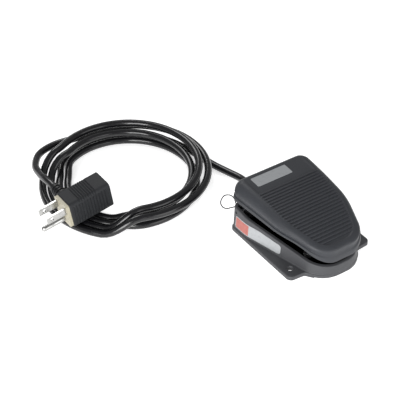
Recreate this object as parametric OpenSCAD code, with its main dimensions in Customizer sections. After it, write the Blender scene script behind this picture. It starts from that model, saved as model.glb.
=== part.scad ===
/* Foot switch with a hinged treadle, a snap switch, and a coiled lead with a series plug.
   The origin is midway between the two ear holes, on the underside.
   +Y runs to the hinge end, where the lead leaves, and +Z is up. */

/* [Base] */
// Width over the flange
base_w = 79.4; // [74:0.2:90]
// Distance from the ear holes to the rear face
base_rear = 69.5; // [66:0.5:76]
// Distance from the ear holes to the front of the nose
nose_reach = 24.4; // [22:0.2:28]
// Distance from the ear holes to the front edge of the ears
ear_reach = 9.2; // [7.5:0.1:11]
// Height of the wall at the rear
wall_rear_h = 23.8; // [22.6:0.2:24.6]
// Height of the wall at the nose
wall_nose_h = 10.4; // [9:0.1:12]
// Thickness of the wall
wall = 2.4; // [1.8:0.1:3]
// Thickness of the flange and the floor
flange_t = 3.6; // [3:0.1:4.2]
// Lean of the side walls over their height
wall_lean = 1.2; // [1:0.1:2]
// Distance from the side of the flange to an ear hole
ear_hole_edge = 7.3; // [6:0.1:9]
// Diameter of an ear hole
ear_hole_d = 4.6; // [3.6:0.1:6]

/* [Treadle] */
// Width of the treadle at the rear
treadle_w = 75.6; // [73:0.2:79]
// Width of the treadle at the nose, before rounding
treadle_nose_w = 42; // [40:0.2:46]
// Overhang of the treadle past the rear face
treadle_over = 6; // [4:0.1:7.5]
// Height of the top at the rear
treadle_h = 43.7; // [42:0.1:46]
// Drop of the top from the rear to the nose
treadle_drop = 16.2; // [13:0.2:17]
// Height of the skirt's lower edge along the sides
lip_h = 28; // [27:0.2:29]
// Dip of the skirt's lower edge at the nose
lip_dip = 13; // [10:0.2:13.4]
// Thickness of the shell
shell_t = 2.8; // [2:0.1:3.2]
// Number of tread ribs
rib_count = 22; // [12:1:23]
// Distance from one rib to the next
rib_pitch = 2.95; // [2.6:0.05:3.1]
// Height of a rib
rib_h = 0.8; // [0.4:0.1:1.2]
// Width of a rib
rib_w = 1.4; // [0.8:0.1:1.8]

/* [Hinge] */
// Diameter of the hinge pin
pin_d = 2; // [1.6:0.1:2.4]
// Radial clearance of the pin
pin_fit = 0.05; // [0.03:0.01:0.1]
// Distance from the rear face to the pin
pin_inset = 6; // [5.8:0.1:8]
// Height of the pin
pin_h = 18.8; // [17:0.1:19.5]

/* [Switch] */
// Length of the snap switch
switch_l = 27.8; // [26:0.1:29]
// Thickness of the snap switch
switch_t = 10.3; // [9.5:0.1:11.5]
// Height of the snap switch
switch_h = 15.9; // [14:0.1:16.5]
// Height of the snap switch above the underside
switch_z = 11; // [10.4:0.1:12]
// Distance from the pin to the switch button
button_reach = 30; // [27:0.2:33]
// Distance between the switch's screw holes
switch_hole_gap = 22.2; // [20:0.1:23]
// Diameter of the switch and bracket screws
screw_d = 3; // [2.4:0.1:3.4]

/* [Springs] */
// Distance from the middle to each spring
spring_x = 11; // [9:0.2:13]
// Distance from the ear holes to the springs, towards the rear
spring_y = 4; // [0:0.2:8]
// Outer diameter of a spring
spring_d = 8.4; // [7:0.1:10]
// Diameter of the spring wire
spring_wire = 1; // [0.7:0.05:1.2]
// Height of a spring at rest
spring_h = 15; // [12:0.2:17]
// Number of curls in a spring
spring_curls = 6; // [4:1:7]

/* [Lead] */
// Diameter of the lead
cord_d = 6.2; // [5.8:0.1:6.3]
// Height of the lead where it leaves the base
cord_h = 8.2; // [8.1:0.1:8.8]
// Length of the strain relief outside the rear face
relief_l = 24; // [20:0.5:26]

/* [Plug] */
// Length of the plug's body
plug_l = 40; // [36:0.5:44]
// Width of the plug's body
plug_w = 21.5; // [21:0.1:22.5]
// Height of the plug's body
plug_h = 24; // [23:0.1:24.2]
// Length of the blades
blade_l = 17; // [15:0.1:18]
// Width of the blades
blade_w = 6.35; // [5:0.05:7]
// Thickness of the blades
blade_t = 1.5; // [1:0.05:2]
// Distance between the blades
blade_gap = 12.7; // [12:0.05:13]
// Length of the ground pin
ground_l = 21; // [19:0.1:22]
// Diameter of the ground pin
ground_d = 4.75; // [4:0.05:5]
// Distance from the blades' line to the ground pin
ground_drop = 11.9; // [10.8:0.05:12]

/* [Hidden] */

// Overrun of every cut, and the depth by which joined shapes enter each other
over = 1;
// Gap left between pieces that lie on each other but are separate
seat_gap = 0.15;
// Gap left where one stretch of cord or wire ends at the next piece
end_gap = 0.3;
// Clearance of a screw in a hole it passes through
screw_fit = 0.15;
// Fineness of round cuts and pins
round_fn = 48;
// Steps of each rounded corner in a moulded outline, and of each bend at its waist
corner_steps = 11;
waist_steps = 4;
// Extra points on the sides behind the waist, and on the shorter stretches in front of it
side_extras = 4;
nose_extras = 2;

base_color = "#26282b";
treadle_color = "#2b2d30";
steel_color = "#c9cbcd";
cord_color = "#1b1c1e";
case_color = "#3a2418";
brass_color = "#c9a24a";
cream_color = "#e8e2c8";
button_color = "#b7382c";

function lerp(a, b, share) = a + (b - a) * share;
function unit(v) = v / norm(v);
function clamp01(v) = max(0, min(1, v));
function smooth(v) = let(c = clamp01(v)) c * c * (3 - 2 * c);

// Arc that rounds the corner b of the path a, b, c
function corner_arc(a, b, c, radius, steps) =
    let(u = unit(a - b),
        w = unit(c - b),
        half = acos(u * w) / 2,
        middle = b + unit(u + w) * radius / sin(half),
        first = b + u * radius / tan(half),
        last = b + w * radius / tan(half),
        from = atan2(first.y - middle.y, first.x - middle.x),
        to = atan2(last.y - middle.y, last.x - middle.x),
        sweep = (to - from + 540) % 360 - 180)
    [for (i = [0 : steps]) middle + radius * [cos(from + sweep * i / steps), sin(from + sweep * i / steps)]];

// Closed outline with each corner rounded by its own radius and number of steps, counter-clockwise,
// and with extra points on the straight stretch after each corner
function rounded(corners, radii, steps, extras) =
    let(n = len(corners),
        arcs = [for (i = [0 : n - 1])
            corner_arc(corners[(i + n - 1) % n], corners[i], corners[(i + 1) % n], radii[i], steps[i])])
    [for (i = [0 : n - 1])
        let(from = arcs[i][steps[i]], to = arcs[(i + 1) % n][0])
        each concat(arcs[i], [for (k = [1 : 1 : extras[i]]) lerp(from, to, k / (extras[i] + 1))])];

// Outline that is nearly straight at the rear and narrows from a waist to a round nose.
// Each of rear, waist and nose is [half width, place along Y, corner radius], and sides holds how far
// each of them is drawn in sideways.
function wedge(rear, waist, nose, sides, in_rear, in_nose) =
    let(rear_r = max(rear[2] - in_rear, rear[2] / 4),
        nose_r = nose[2] - in_nose)
    rounded([[-rear[0] + sides[0], rear[1] - in_rear],
             [-waist[0] + sides[1], waist[1]],
             [-nose[0] + sides[2], nose[1] + in_nose],
             [nose[0] - sides[2], nose[1] + in_nose],
             [waist[0] - sides[1], waist[1]],
             [rear[0] - sides[0], rear[1] - in_rear]],
            [rear_r, waist[2], nose_r, nose_r, waist[2], rear_r],
            [corner_steps, waist_steps, corner_steps, corner_steps, waist_steps, corner_steps],
            [side_extras, nose_extras, nose_extras, nose_extras, side_extras, side_extras]);

// Half width of an outline at a place along Y
function half_at(outline, y) =
    let(n = len(outline))
    max([for (i = [0 : n - 1])
        let(a = outline[i], b = outline[(i + 1) % n])
        if (a.y != b.y && (a.y - y) * (b.y - y) <= 0) lerp(a.x, b.x, (y - a.y) / (b.y - a.y))]);

function lift(outline, heights) =
    [for (i = [0 : len(outline) - 1]) [outline[i].x, outline[i].y, heights[i]]];
function level(outline, z) = [for (p = outline) [p.x, p.y, z]];

// Closed solid through a stack of rings that all run counter-clockwise, each end closed by a fan
function middle_of(ring) = [for (i = [0 : len(ring) - 1]) 1 / len(ring)] * ring;
module loft(rings) {
    n = len(rings[0]);
    m = len(rings);
    sides = [for (k = [0 : m - 2], i = [0 : n - 1])
        let(j = (i + 1) % n)
        each [[k * n + i, (k + 1) * n + i, (k + 1) * n + j], [k * n + i, (k + 1) * n + j, k * n + j]]];
    ends = [for (i = [0 : n - 1])
        let(j = (i + 1) % n)
        each [[n * m, i, j], [n * m + 1, (m - 1) * n + j, (m - 1) * n + i]]];
    middles = [middle_of(rings[0]), middle_of(rings[m - 1])];
    polyhedron(points = concat([for (ring = rings) each ring], middles), faces = concat(sides, ends));
}

// Rings of a round tube along a path, each square to the path, with no twist
function path_dir(path, i) =
    let(n = len(path))
    unit(path[min(i + 1, n - 1)] - path[max(i - 1, 0)]);
function side_axes(path, i, before) =
    let(d = path_dir(path, i), s = unit(before - d * (before * d)))
    i == len(path) - 1 ? [s] : concat([s], side_axes(path, i + 1, s));
function tube_rings(path, radius, sides, start_side) =
    let(axes = side_axes(path, 0, start_side))
    [for (i = [0 : len(path) - 1])
        let(u = axes[i], v = cross(path_dir(path, i), u))
        [for (k = [0 : sides - 1])
            path[i] + radius * (cos(360 * k / sides) * u + sin(360 * k / sides) * v)]];

module tube(path, radius, sides, start_side) {
    loft(tube_rings(path, radius, sides, start_side));
}

// Smooth curve through chosen points, with several steps from each point to the next
function spline_point(a, b, c, d, t) =
    b + ((c - a) * t + (2 * a - 5 * b + 4 * c - d) * t * t + (3 * b - a - 3 * c + d) * t * t * t) / 2;
function spline(points, steps) =
    let(n = len(points))
    concat([for (i = [0 : n - 2], s = [0 : steps - 1])
        spline_point(points[max(i - 1, 0)], points[i], points[i + 1], points[min(i + 2, n - 1)], s / steps)],
        [points[n - 1]]);

// Heights of the base wall and of the treadle, by place along the switch
body_l = base_rear + nose_reach;
function wall_top(y) = lerp(wall_nose_h, wall_rear_h, (y + nose_reach) / body_l);
treadle_rear = base_rear + treadle_over;
treadle_l = treadle_rear + nose_reach;
top_power_share = 2.2;
dip_power_share = 3.5;
dip_start_share = 0.45;
function top_z(y) = treadle_h - treadle_drop * pow(clamp01((treadle_rear - y) / treadle_l), top_power_share);
function lip_z(y) =
    lip_h - lip_dip * pow(clamp01(1 - (y + nose_reach) / (body_l * (1 - dip_start_share))), dip_power_share);

// Base: a tray with leaning walls, on a flange with two ears
foot_inset = 0.7;
foot_half = base_w / 2 - foot_inset;
base_nose_share = 0.54;
base_nose_half = base_w / 2 * base_nose_share;
base_waist_y = 50;
base_rear_r = 5;
base_waist_r = 40;
base_nose_r = 22;
rear_lean_share = 0.35;
edge_round = 0.8;
function base_ring(inset_side, inset_rear, inset_nose) =
    wedge([foot_half, base_rear, base_rear_r], [foot_half, base_waist_y, base_waist_r],
          [base_nose_half, -nose_reach, base_nose_r],
          [inset_side, inset_side, inset_side], inset_rear, inset_nose);

flange_r = 4.5;
neck_back = 1;
neck_y = -ear_reach - neck_back;
neck_half_share = 0.6;
neck_half = base_w / 2 * neck_half_share;
ear_hole_gap = base_w - 2 * ear_hole_edge;
module flange_outline() {
    rear_right = [base_w / 2, base_rear];
    rear_left = [-base_w / 2, base_rear];
    ear_left = [-base_w / 2, -ear_reach];
    ear_right = [base_w / 2, -ear_reach];
    neck_left = [-neck_half, neck_y];
    neck_right = [neck_half, neck_y];
    polygon(concat(
        corner_arc(ear_right, rear_right, rear_left, flange_r, corner_steps),
        corner_arc(rear_right, rear_left, ear_left, flange_r, corner_steps),
        corner_arc(rear_left, ear_left, neck_left, flange_r, corner_steps),
        [neck_left, neck_right],
        corner_arc(neck_right, ear_right, rear_right, flange_r, corner_steps)));
}

pin_y = base_rear - pin_inset;
button_y = pin_y - button_reach;
post_room = 1;
post_d = spring_d - 2 * spring_wire - post_room;
post_h = 4;
relief_wall = 1.9;
relief_hole_r = cord_d / 2 + relief_wall;
clamp_inset = 11;
clamp_y = base_rear - clamp_inset;
clamp_depth = 6;
clamp_screw_gap = 16.4;
clamp_edge = 3.5;
clamp_w = clamp_screw_gap + 2 * clamp_edge;
jacket_fit = 0.1;
bracket_t = 1.2;
bracket_foot = 10;
bracket_screw_x = switch_t / 2 + seat_gap + bracket_t + bracket_foot / 2;
bracket_screw_gap = 18;
button_off = 6;
switch_mid_y = button_y + button_off;
pilot_share = 0.8;
pilot_skin = 0.8;
wire_hole_h = 19.4;
wire_hole_gap = 3.2;
wire_hole_inset = 6;
wire_hole_x = foot_half - wire_hole_inset;
pin_wire_d = 0.9;
foot_extra = 1;

module base_housing() {
    color(base_color)
    difference() {
        union() {
            rear_lean = wall_lean * rear_lean_share;
            nose_lean = wall_lean / 2;
            foot = base_ring(0, 0, 0);
            shoulder = base_ring(wall_lean, rear_lean, nose_lean);
            rim = base_ring(wall_lean + edge_round, rear_lean + edge_round, nose_lean + edge_round);
            inner = base_ring(wall_lean + wall, rear_lean + wall, nose_lean + wall);
            inner_foot = base_ring(wall + foot_extra, wall, wall);
            loft([level(foot, 0),
                  lift(shoulder, [for (p = shoulder) wall_top(p.y) - edge_round]),
                  lift(rim, [for (p = rim) wall_top(p.y)]),
                  lift(inner, [for (p = inner) wall_top(p.y)]),
                  level(inner_foot, flange_t)]);
            linear_extrude(flange_t) flange_outline();
            for (side = [-1, 1])
                translate([side * spring_x, spring_y, flange_t - over])
                    cylinder(d = post_d, h = post_h + over, $fn = round_fn);
            translate([-clamp_w / 2, clamp_y - clamp_depth / 2, flange_t - over])
                cube([clamp_w, clamp_depth, cord_h - flange_t + over - seat_gap]);
        }
        for (side = [-1, 1])
            translate([side * ear_hole_gap / 2, 0, -over])
                cylinder(d = ear_hole_d, h = flange_t + 2 * over, $fn = round_fn);
        translate([-base_w, pin_y, pin_h])
            rotate([0, 90, 0]) cylinder(r = pin_d / 2 + pin_fit, h = 2 * base_w, $fn = round_fn);
        translate([0, base_rear + over, cord_h])
            rotate([90, 0, 0]) cylinder(r = relief_hole_r, h = wall + wall_lean + 2 * over, $fn = round_fn);
        translate([0, clamp_y + clamp_depth, cord_h])
            rotate([90, 0, 0]) cylinder(r = cord_d / 2 + jacket_fit, h = 2 * clamp_depth, $fn = round_fn);
        for (side = [-1, 1])
            translate([side * clamp_screw_gap / 2, clamp_y, flange_t])
                cylinder(d = screw_d * pilot_share, h = cord_h - flange_t + over, $fn = round_fn);
        for (side = [-1, 1])
            translate([bracket_screw_x, switch_mid_y + side * bracket_screw_gap / 2, pilot_skin])
                cylinder(d = screw_d * pilot_share, h = flange_t, $fn = round_fn);
        for (side = [-1, 1])
            translate([-wire_hole_x, base_rear + over, wire_hole_h + side * wire_hole_gap / 2])
                rotate([90, 0, 0])
                cylinder(d = pin_wire_d + 2 * screw_fit, h = wall + wall_lean + 2 * over, $fn = round_fn);
    }
}

// Treadle: a moulded hood with a skirt, a round shoulder, a front bead and a ribbed tread
treadle_rear_r = 10;
treadle_waist_y = 14;
treadle_waist_r = 70;
treadle_nose_r = 20;
treadle_waist_share = 0.78;
treadle_waist_half = lerp(treadle_nose_w, treadle_w, treadle_waist_share) / 2;
shoulder_steps = 4;
shoulder_in = 8.5;
shoulder_rear_in = 6;
shoulder_nose_in = 4;
shoulder_h = 9;
shoulder_nose_h = 1.6;
bead_h = 0.9;
skirt_lean = 0.8;
shoulder_power_share = 1.6;
function nose_share(y) = clamp01((treadle_rear - y) / treadle_l);
function shoulder_drop(y) = lerp(shoulder_h, shoulder_nose_h, pow(nose_share(y), shoulder_power_share));
function treadle_ring(inset, inset_rear, inset_nose) =
    wedge([treadle_w / 2, treadle_rear, treadle_rear_r],
          [treadle_waist_half, treadle_waist_y, treadle_waist_r],
          [treadle_nose_w / 2, -nose_reach, treadle_nose_r],
          [inset, (inset + inset_nose) / 2, inset_nose], inset_rear, inset_nose);
tread_middle = [0, (treadle_rear - nose_reach) / 2];
function shrink(outline, share) = [for (p = outline) tread_middle + (p - tread_middle) * share];

module treadle_shell() {
    lip = treadle_ring(0, 0, 0);
    tread = treadle_ring(skirt_lean + shoulder_in + bead_h, skirt_lean + shoulder_rear_in + bead_h,
                         skirt_lean + shoulder_nose_in + 2 * bead_h);
    inner_lip = treadle_ring(shell_t, shell_t, shell_t);
    inner_skirt = treadle_ring(skirt_lean + shell_t, skirt_lean + shell_t, skirt_lean + shell_t);
    inner_crest = treadle_ring(shell_t + shoulder_in, shell_t + shoulder_rear_in,
                               shell_t + shoulder_nose_in);
    shrink_shares = [0.72, 0.42, 0.08];
    inner_shrink_shares = [0.08, 0.5];
    loft(concat(
        [for (share = inner_shrink_shares) let(ring = shrink(inner_crest, share))
            lift(ring, [for (p = ring) top_z(p.y) - shell_t])],
        [lift(inner_crest, [for (p = inner_crest) top_z(p.y) - shell_t - bead_h])],
        [lift(inner_skirt, [for (p = inner_skirt) top_z(p.y) - shoulder_drop(p.y) - shell_t])],
        [lift(inner_lip, [for (p = inner_lip) lip_z(p.y)])],
        [lift(lip, [for (p = lip) lip_z(p.y)])],
        [for (k = [0 : shoulder_steps])
            let(a = 90 * k / shoulder_steps,
                ring = treadle_ring(skirt_lean + shoulder_in * (1 - cos(a)),
                                    skirt_lean + shoulder_rear_in * (1 - cos(a)),
                                    skirt_lean + shoulder_nose_in * (1 - cos(a))))
            lift(ring, [for (p = ring) top_z(p.y) - shoulder_drop(p.y) * (1 - sin(a))])],
        [lift(tread, [for (p = tread) top_z(p.y) - bead_h * nose_share(p.y)])],
        [for (share = shrink_shares) let(ring = shrink(tread, share))
            lift(ring, [for (p = ring) top_z(p.y) - bead_h * nose_share(p.y)])]));
}

lug_inset = 10;
lug_x = foot_half - lug_inset;
lug_t = 4;
lug_r = 2.4;
press_d = 5;
press_len = 9;
seat_edge = 1.2;
seat_d = spring_d + 2 * seat_edge;
rib_first = 47.5;
rib_margin = 7.8;
rib_nose_margin = 4.6;
button_out = 1.6;
button_top = switch_z + switch_h + button_out;
spring_top = flange_t + spring_h;

module treadle() {
    color(treadle_color)
    difference() {
        union() {
            treadle_shell();
            for (side = [-1, 1])
                translate([side * lug_x - lug_t / 2, pin_y, pin_h])
                    union() {
                        rotate([0, 90, 0]) cylinder(r = lug_r, h = lug_t, $fn = round_fn);
                        translate([0, -lug_r, 0])
                            cube([lug_t, 2 * lug_r, treadle_h - shell_t - pin_h - 2 * over]);
                    }
            translate([0, button_y, button_top + press_len / 2])
                cylinder(d = press_d + 2 * shell_t, h = top_z(button_y) - button_top - press_len / 2 - over,
                         $fn = round_fn);
            for (side = [-1, 1])
                translate([side * spring_x, spring_y, spring_top + seat_gap])
                cylinder(d = seat_d, h = top_z(spring_y) - spring_top - over - shell_t / 2, $fn = round_fn);
            for (i = [0 : rib_count - 1])
                let(y = rib_first - i * rib_pitch,
                    margin = lerp(rib_margin, rib_nose_margin, nose_share(y)),
                    half = half_at(treadle_ring(0, 0, 0), y - margin / 2) - margin,
                    slope = atan2(top_z(y + rib_w) - top_z(y - rib_w), 2 * rib_w))
                translate([-half, y, top_z(y) - bead_h * nose_share(y)])
                    rotate([slope, 0, 0])
                    translate([0, -rib_w / 2, -rib_h])
                        cube([2 * half, rib_w, 2 * rib_h]);
        }
        translate([-base_w, pin_y, pin_h])
            rotate([0, 90, 0]) cylinder(r = pin_d / 2 + pin_fit, h = 2 * base_w, $fn = round_fn);
        translate([0, button_y, button_top])
            cylinder(d = screw_d * pilot_share, h = press_len + press_len / 4, $fn = round_fn);
    }
}

// Hinge pin, held inside the walls, with a clip inside each lug
pin_short = 1.6;
pin_len = 2 * (foot_half - wall_lean - pin_short);
module hinge_pin() {
    color(steel_color)
    translate([-pin_len / 2, pin_y, pin_h])
        rotate([0, 90, 0]) cylinder(d = pin_d, h = pin_len, $fn = round_fn);
}

clip_t = 0.6;
clip_r = 2.2;
module pin_clips() {
    color(steel_color)
    for (side = [-1, 1])
        translate([side * (lug_x - lug_t / 2 - seat_gap - clip_t / 2) - clip_t / 2, pin_y, pin_h])
            rotate([0, 90, 0])
            difference() {
                cylinder(r = clip_r, h = clip_t, $fn = round_fn);
                translate([0, 0, -over])
                    cylinder(r = pin_d / 2 + pin_fit / 2, h = clip_t + 2 * over, $fn = round_fn);
            }
}

// Wire loop that stands out of the rear face beside the corner
wire_loop_out = 14.8;
wire_loop_side = 10;
wire_tail = 2.6;
wire_sides = 8;
curve_steps = 3;
// Places of the loop's bends, sideways and outwards, as shares of its size
wire_shares = [[-0.25, 0.5], [-0.25, 0.85], [0.2, 1], [0.8, 0.75], [1, 0.4], [0.8, 0.21], [0.4, 0.175]];
wire_height_shares = [1, 1, 1, 0.7, 0.5, 0.2, 0];
module pin_wire() {
    low = wire_hole_h - wire_hole_gap / 2;
    high = wire_hole_h + wire_hole_gap / 2;
    x = -wire_hole_x;
    y = base_rear;
    bow = [for (i = [0 : len(wire_shares) - 1])
        [x - wire_loop_side * wire_shares[i].x, y + wire_loop_out * wire_shares[i].y,
         lerp(low, high, wire_height_shares[i])]];
    path = spline(concat([[x, y - wire_tail, high], [x, y + wire_tail / 2, high]],
                         bow,
                         [[x, y + wire_tail / 2, low], [x, y - wire_tail, low]]), curve_steps);
    color(steel_color) tube(path, pin_wire_d / 2, wire_sides, [0, 0, 1]);
}

// Return springs, one each side, between the floor posts and the treadle's seats
spring_sides = 6;
spring_rings = 8;
module spring(side) {
    mean = (spring_d - spring_wire) / 2;
    rise = spring_h - spring_wire - 2 * seat_gap;
    path = [for (i = [0 : spring_curls * spring_rings])
        let(a = 360 * i / spring_rings, t = i / (spring_curls * spring_rings))
        [mean * cos(a), mean * sin(a), spring_wire / 2 + rise * t]];
    color(steel_color)
    translate([side * spring_x, spring_y, flange_t + seat_gap])
        tube(path, spring_wire / 2, spring_sides, [0, 0, 1]);
}
module spring_left() { spring(-1); }
module spring_right() { spring(1); }

// Snap switch on its bracket
module screw_shaft(length) { cylinder(d = screw_d, h = length, $fn = round_fn); }
head_d = 5.4;
head_h = 1.8;
slot_w = 0.8;
module screw(length, shaft_share = 1) {
    difference() {
        cylinder(d = head_d, h = head_h, $fn = round_fn);
        translate([-head_d, -slot_w / 2, head_h / 2]) cube([2 * head_d, slot_w, head_h]);
    }
    translate([0, 0, -length])
        cylinder(d = screw_d * shaft_share, h = length + head_h / 4, $fn = round_fn);
}

switch_hole_up = 2.9;
switch_hole_z = switch_z + switch_hole_up;
plate_edge = 2;
module across_switch() {
    for (side = [-1, 1])
        translate([0, switch_mid_y + side * switch_hole_gap / 2, switch_hole_z])
            rotate([0, 90, 0]) children();
}

module switch_bracket() {
    plate_h = switch_hole_z + screw_d - flange_t + plate_edge;
    color(steel_color)
    difference() {
        translate([switch_t / 2 + seat_gap, switch_mid_y - switch_l / 2, flange_t]) {
            cube([bracket_t, switch_l, plate_h]);
            cube([bracket_t + bracket_foot, switch_l, bracket_t]);
        }
        across_switch() cylinder(d = screw_d + 2 * screw_fit, h = base_w, $fn = round_fn);
        for (side = [-1, 1])
            translate([bracket_screw_x, switch_mid_y + side * bracket_screw_gap / 2, 0])
                cylinder(d = screw_d + 2 * screw_fit, h = base_w, $fn = round_fn);
    }
}

thread_share = 0.77;
module bracket_screws() {
    color(steel_color)
    for (side = [-1, 1])
        translate([bracket_screw_x, switch_mid_y + side * bracket_screw_gap / 2,
                   flange_t + bracket_t + seat_gap / 2])
            screw(flange_t + bracket_t - pilot_skin - seat_gap, thread_share);
}

button_w = 3;
button_l = 4.4;
button_fit = 0.15;
button_deep = 5;
cover_line = 0.5;
module switch_case() {
    color(case_color)
    difference() {
        translate([-switch_t / 2, switch_mid_y - switch_l / 2, switch_z])
            union() {
                cube([switch_t, switch_l, switch_h]);
                for (end = [0, 1])
                    translate([-cover_line / 2, end * (switch_l - 4 * cover_line) + cover_line, cover_line])
                        cube([cover_line, 2 * cover_line, switch_h - 2 * cover_line]);
            }
        across_switch()
            translate([0, 0, -base_w / 2]) cylinder(d = screw_d + 2 * screw_fit, h = base_w, $fn = round_fn);
        translate([-button_w / 2 - button_fit, button_y - button_l / 2 - button_fit,
                   switch_z + switch_h - button_deep])
            cube([button_w + 2 * button_fit, button_l + 2 * button_fit, button_deep + over]);
    }
}

button_travel_room = 2;
module switch_button() {
    bottom = switch_z + switch_h - button_deep + button_travel_room;
    color(button_color)
    translate([-button_w / 2, button_y - button_l / 2, bottom])
        cube([button_w, button_l, button_top - bottom]);
}

tab_w = 4.8;
tab_t = 0.6;
tab_l = 5.6;
tab_rear = 9;
tab_step = 10;
module switch_terminals() {
    color(brass_color)
    for (i = [0 : 2])
        translate([-tab_w / 2, switch_mid_y + tab_rear - i * tab_step - tab_t, switch_z - tab_l])
            cube([tab_w, tab_t, tab_l]);
}

nut_d = 6;
nut_t = 2.2;
module switch_screws() {
    color(steel_color)
    translate([-switch_t / 2 - cover_line - seat_gap, 0, 0])
        across_switch()
            rotate([180, 0, 0])
                screw(switch_t + cover_line + bracket_t + nut_t + 2 * over, 1);
}
module switch_nuts() {
    color(steel_color)
    translate([switch_t / 2 + bracket_t + 2 * seat_gap, 0, 0])
        across_switch()
            difference() {
                cylinder(d = nut_d, h = nut_t, $fn = 6);
                translate([0, 0, -over])
                    cylinder(d = screw_d + screw_fit, h = nut_t + 2 * over, $fn = round_fn);
            }
}

// Screw in the treadle that presses the switch button, with its lock nut
press_gap = 0.1;
module press_screw() {
    color(steel_color)
    translate([0, button_y, button_top + press_gap]) {
        cylinder(d = press_d, h = head_h, $fn = round_fn);
        cylinder(d = screw_d * thread_share, h = press_len, $fn = round_fn);
    }
}
module press_nut() {
    bottom = button_top + press_gap + head_h + seat_gap;
    color(steel_color)
    translate([0, button_y, bottom])
        difference() {
            cylinder(d = nut_d, h = button_top + press_len / 2 - seat_gap - bottom, $fn = 6);
            translate([0, 0, -over])
                cylinder(d = screw_d * thread_share + screw_fit, h = press_len, $fn = round_fn);
        }
}

// Strain relief, the lead's jacket inside the base, its clamp and its two wires
relief_tip_wall = 0.9;
relief_tip_r = cord_d / 2 + relief_tip_wall;
relief_flange_edge = 1.3;
relief_flange_r = relief_hole_r + relief_flange_edge;
relief_flange_t = 1.6;
relief_ribs = 5;
relief_rib_out = 0.6;
relief_rib_deep = 0.8;
// Places where a rib of the strain relief starts, tops out and ends, as shares of its step
relief_rib_shares = [0.08, 0.12, 0.5, 0.54];
function rib_profile(z, step, r, deep, shares) =
    [[r - deep, z + step * shares[0]], [r, z + step * shares[1]],
     [r, z + step * shares[2]], [r - deep, z + step * shares[3]]];
module strain_relief() {
    bore = cord_d / 2 + jacket_fit;
    wall_in = wall + wall_lean;
    rib_step = (relief_l - relief_flange_t) / relief_ribs;
    color(base_color)
    translate([0, base_rear, cord_h])
        rotate([-90, 0, 0])
        rotate_extrude($fn = round_fn)
        polygon(concat(
            [[bore, -wall_in],
             [relief_hole_r - jacket_fit, -wall_in], [relief_hole_r - jacket_fit, seat_gap],
             [relief_flange_r, seat_gap], [relief_flange_r, relief_flange_t]],
            [for (i = [0 : relief_ribs - 1])
                each rib_profile(relief_flange_t + rib_step * i, rib_step,
                                 lerp(relief_hole_r, relief_tip_r, i / (relief_ribs - 1)) + relief_rib_out,
                                 relief_rib_deep, relief_rib_shares)],
            [[relief_tip_r, relief_l], [bore, relief_l]]));
}

jacket_bare = 1;
jacket_end = clamp_y - clamp_depth / 2 - jacket_bare;
module cord_jacket() {
    color(cord_color)
    translate([0, base_rear + relief_l, cord_h])
        rotate([90, 0, 0]) cylinder(d = cord_d, h = base_rear + relief_l - jacket_end, $fn = round_fn);
}

clamp_bar_t = 2;
module cord_clamp() {
    color(steel_color)
    difference() {
        translate([0, clamp_y + clamp_depth / 2, cord_h])
            rotate([90, 0, 0])
            linear_extrude(clamp_depth)
            union() {
                translate([-clamp_w / 2, 0]) square([clamp_w, clamp_bar_t]);
                circle(r = cord_d / 2 + clamp_bar_t, $fn = round_fn);
            }
        translate([0, clamp_y + clamp_depth, cord_h])
            rotate([90, 0, 0]) cylinder(r = cord_d / 2 + jacket_fit, h = 2 * clamp_depth, $fn = round_fn);
        translate([-clamp_w, clamp_y - clamp_depth, -over])
            cube([2 * clamp_w, 2 * clamp_depth, cord_h + over]);
        for (side = [-1, 1])
            translate([side * clamp_screw_gap / 2, clamp_y, 0])
                cylinder(d = screw_d + 2 * screw_fit, h = base_w, $fn = round_fn);
    }
}
module clamp_screws() {
    color(steel_color)
    for (side = [-1, 1])
        translate([side * clamp_screw_gap / 2, clamp_y, cord_h + clamp_bar_t + seat_gap / 2])
            screw(cord_h - flange_t + clamp_bar_t - 2 * seat_gap, thread_share);
}

strand_d = 2.2;
strand_x = 1.5;
strand_drop = 0.6;
strand_h = cord_h - strand_drop;
tab_mid_z = switch_z - tab_l / 2;
wire_start = jacket_end - end_gap;
module wire_live() {
    end_y = switch_mid_y + tab_rear + end_gap;
    path = spline([[strand_x, wire_start, strand_h], [strand_x, wire_start - strand_d, strand_h],
                   [strand_x, end_y + strand_d, tab_mid_z], [strand_x, end_y, tab_mid_z]], curve_steps);
    color(cord_color) tube(path, strand_d / 2, wire_sides, [0, 0, 1]);
}
module wire_switched() {
    end_y = switch_mid_y + tab_rear - tab_step + end_gap;
    bypass = tab_w / 2 + strand_d;
    path = spline([[-strand_x, wire_start, strand_h], [-strand_x, wire_start - strand_d, strand_h],
                   [-bypass, end_y + tab_step + strand_d / 2, tab_mid_z],
                   [-bypass, end_y + tab_step - strand_d, tab_mid_z],
                   [-strand_x, end_y + strand_d, tab_mid_z], [-strand_x, end_y, tab_mid_z]], curve_steps);
    color(cream_color) tube(path, strand_d / 2, wire_sides, [0, 0, 1]);
}

// Lead: a free stretch to the coil, the coil itself, and the tail to the plug
cord_r = cord_d / 2;
coil_middle = [-76.4, 163.6];
coil_r = 60.2;
bundle_r = 7.2;
bundle_h = 8;
turns_round = 5;
coil_first_angle = 14;
coil_last_angle = 1529;
bundle_first_angle = -54;
flat_angle = 185;
flat_half = 35;
flat_end = 67;
flat_pitch = 6.9;
flat_shares = [-0.5, -1.5, 0.5, 1.5, 1.5];
spread_share = 0.25;
lower_share = 0.8;
loop_rings = 24;
coil_sides = 6;
cord_sides = 10;
cord_steps = 2;

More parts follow.
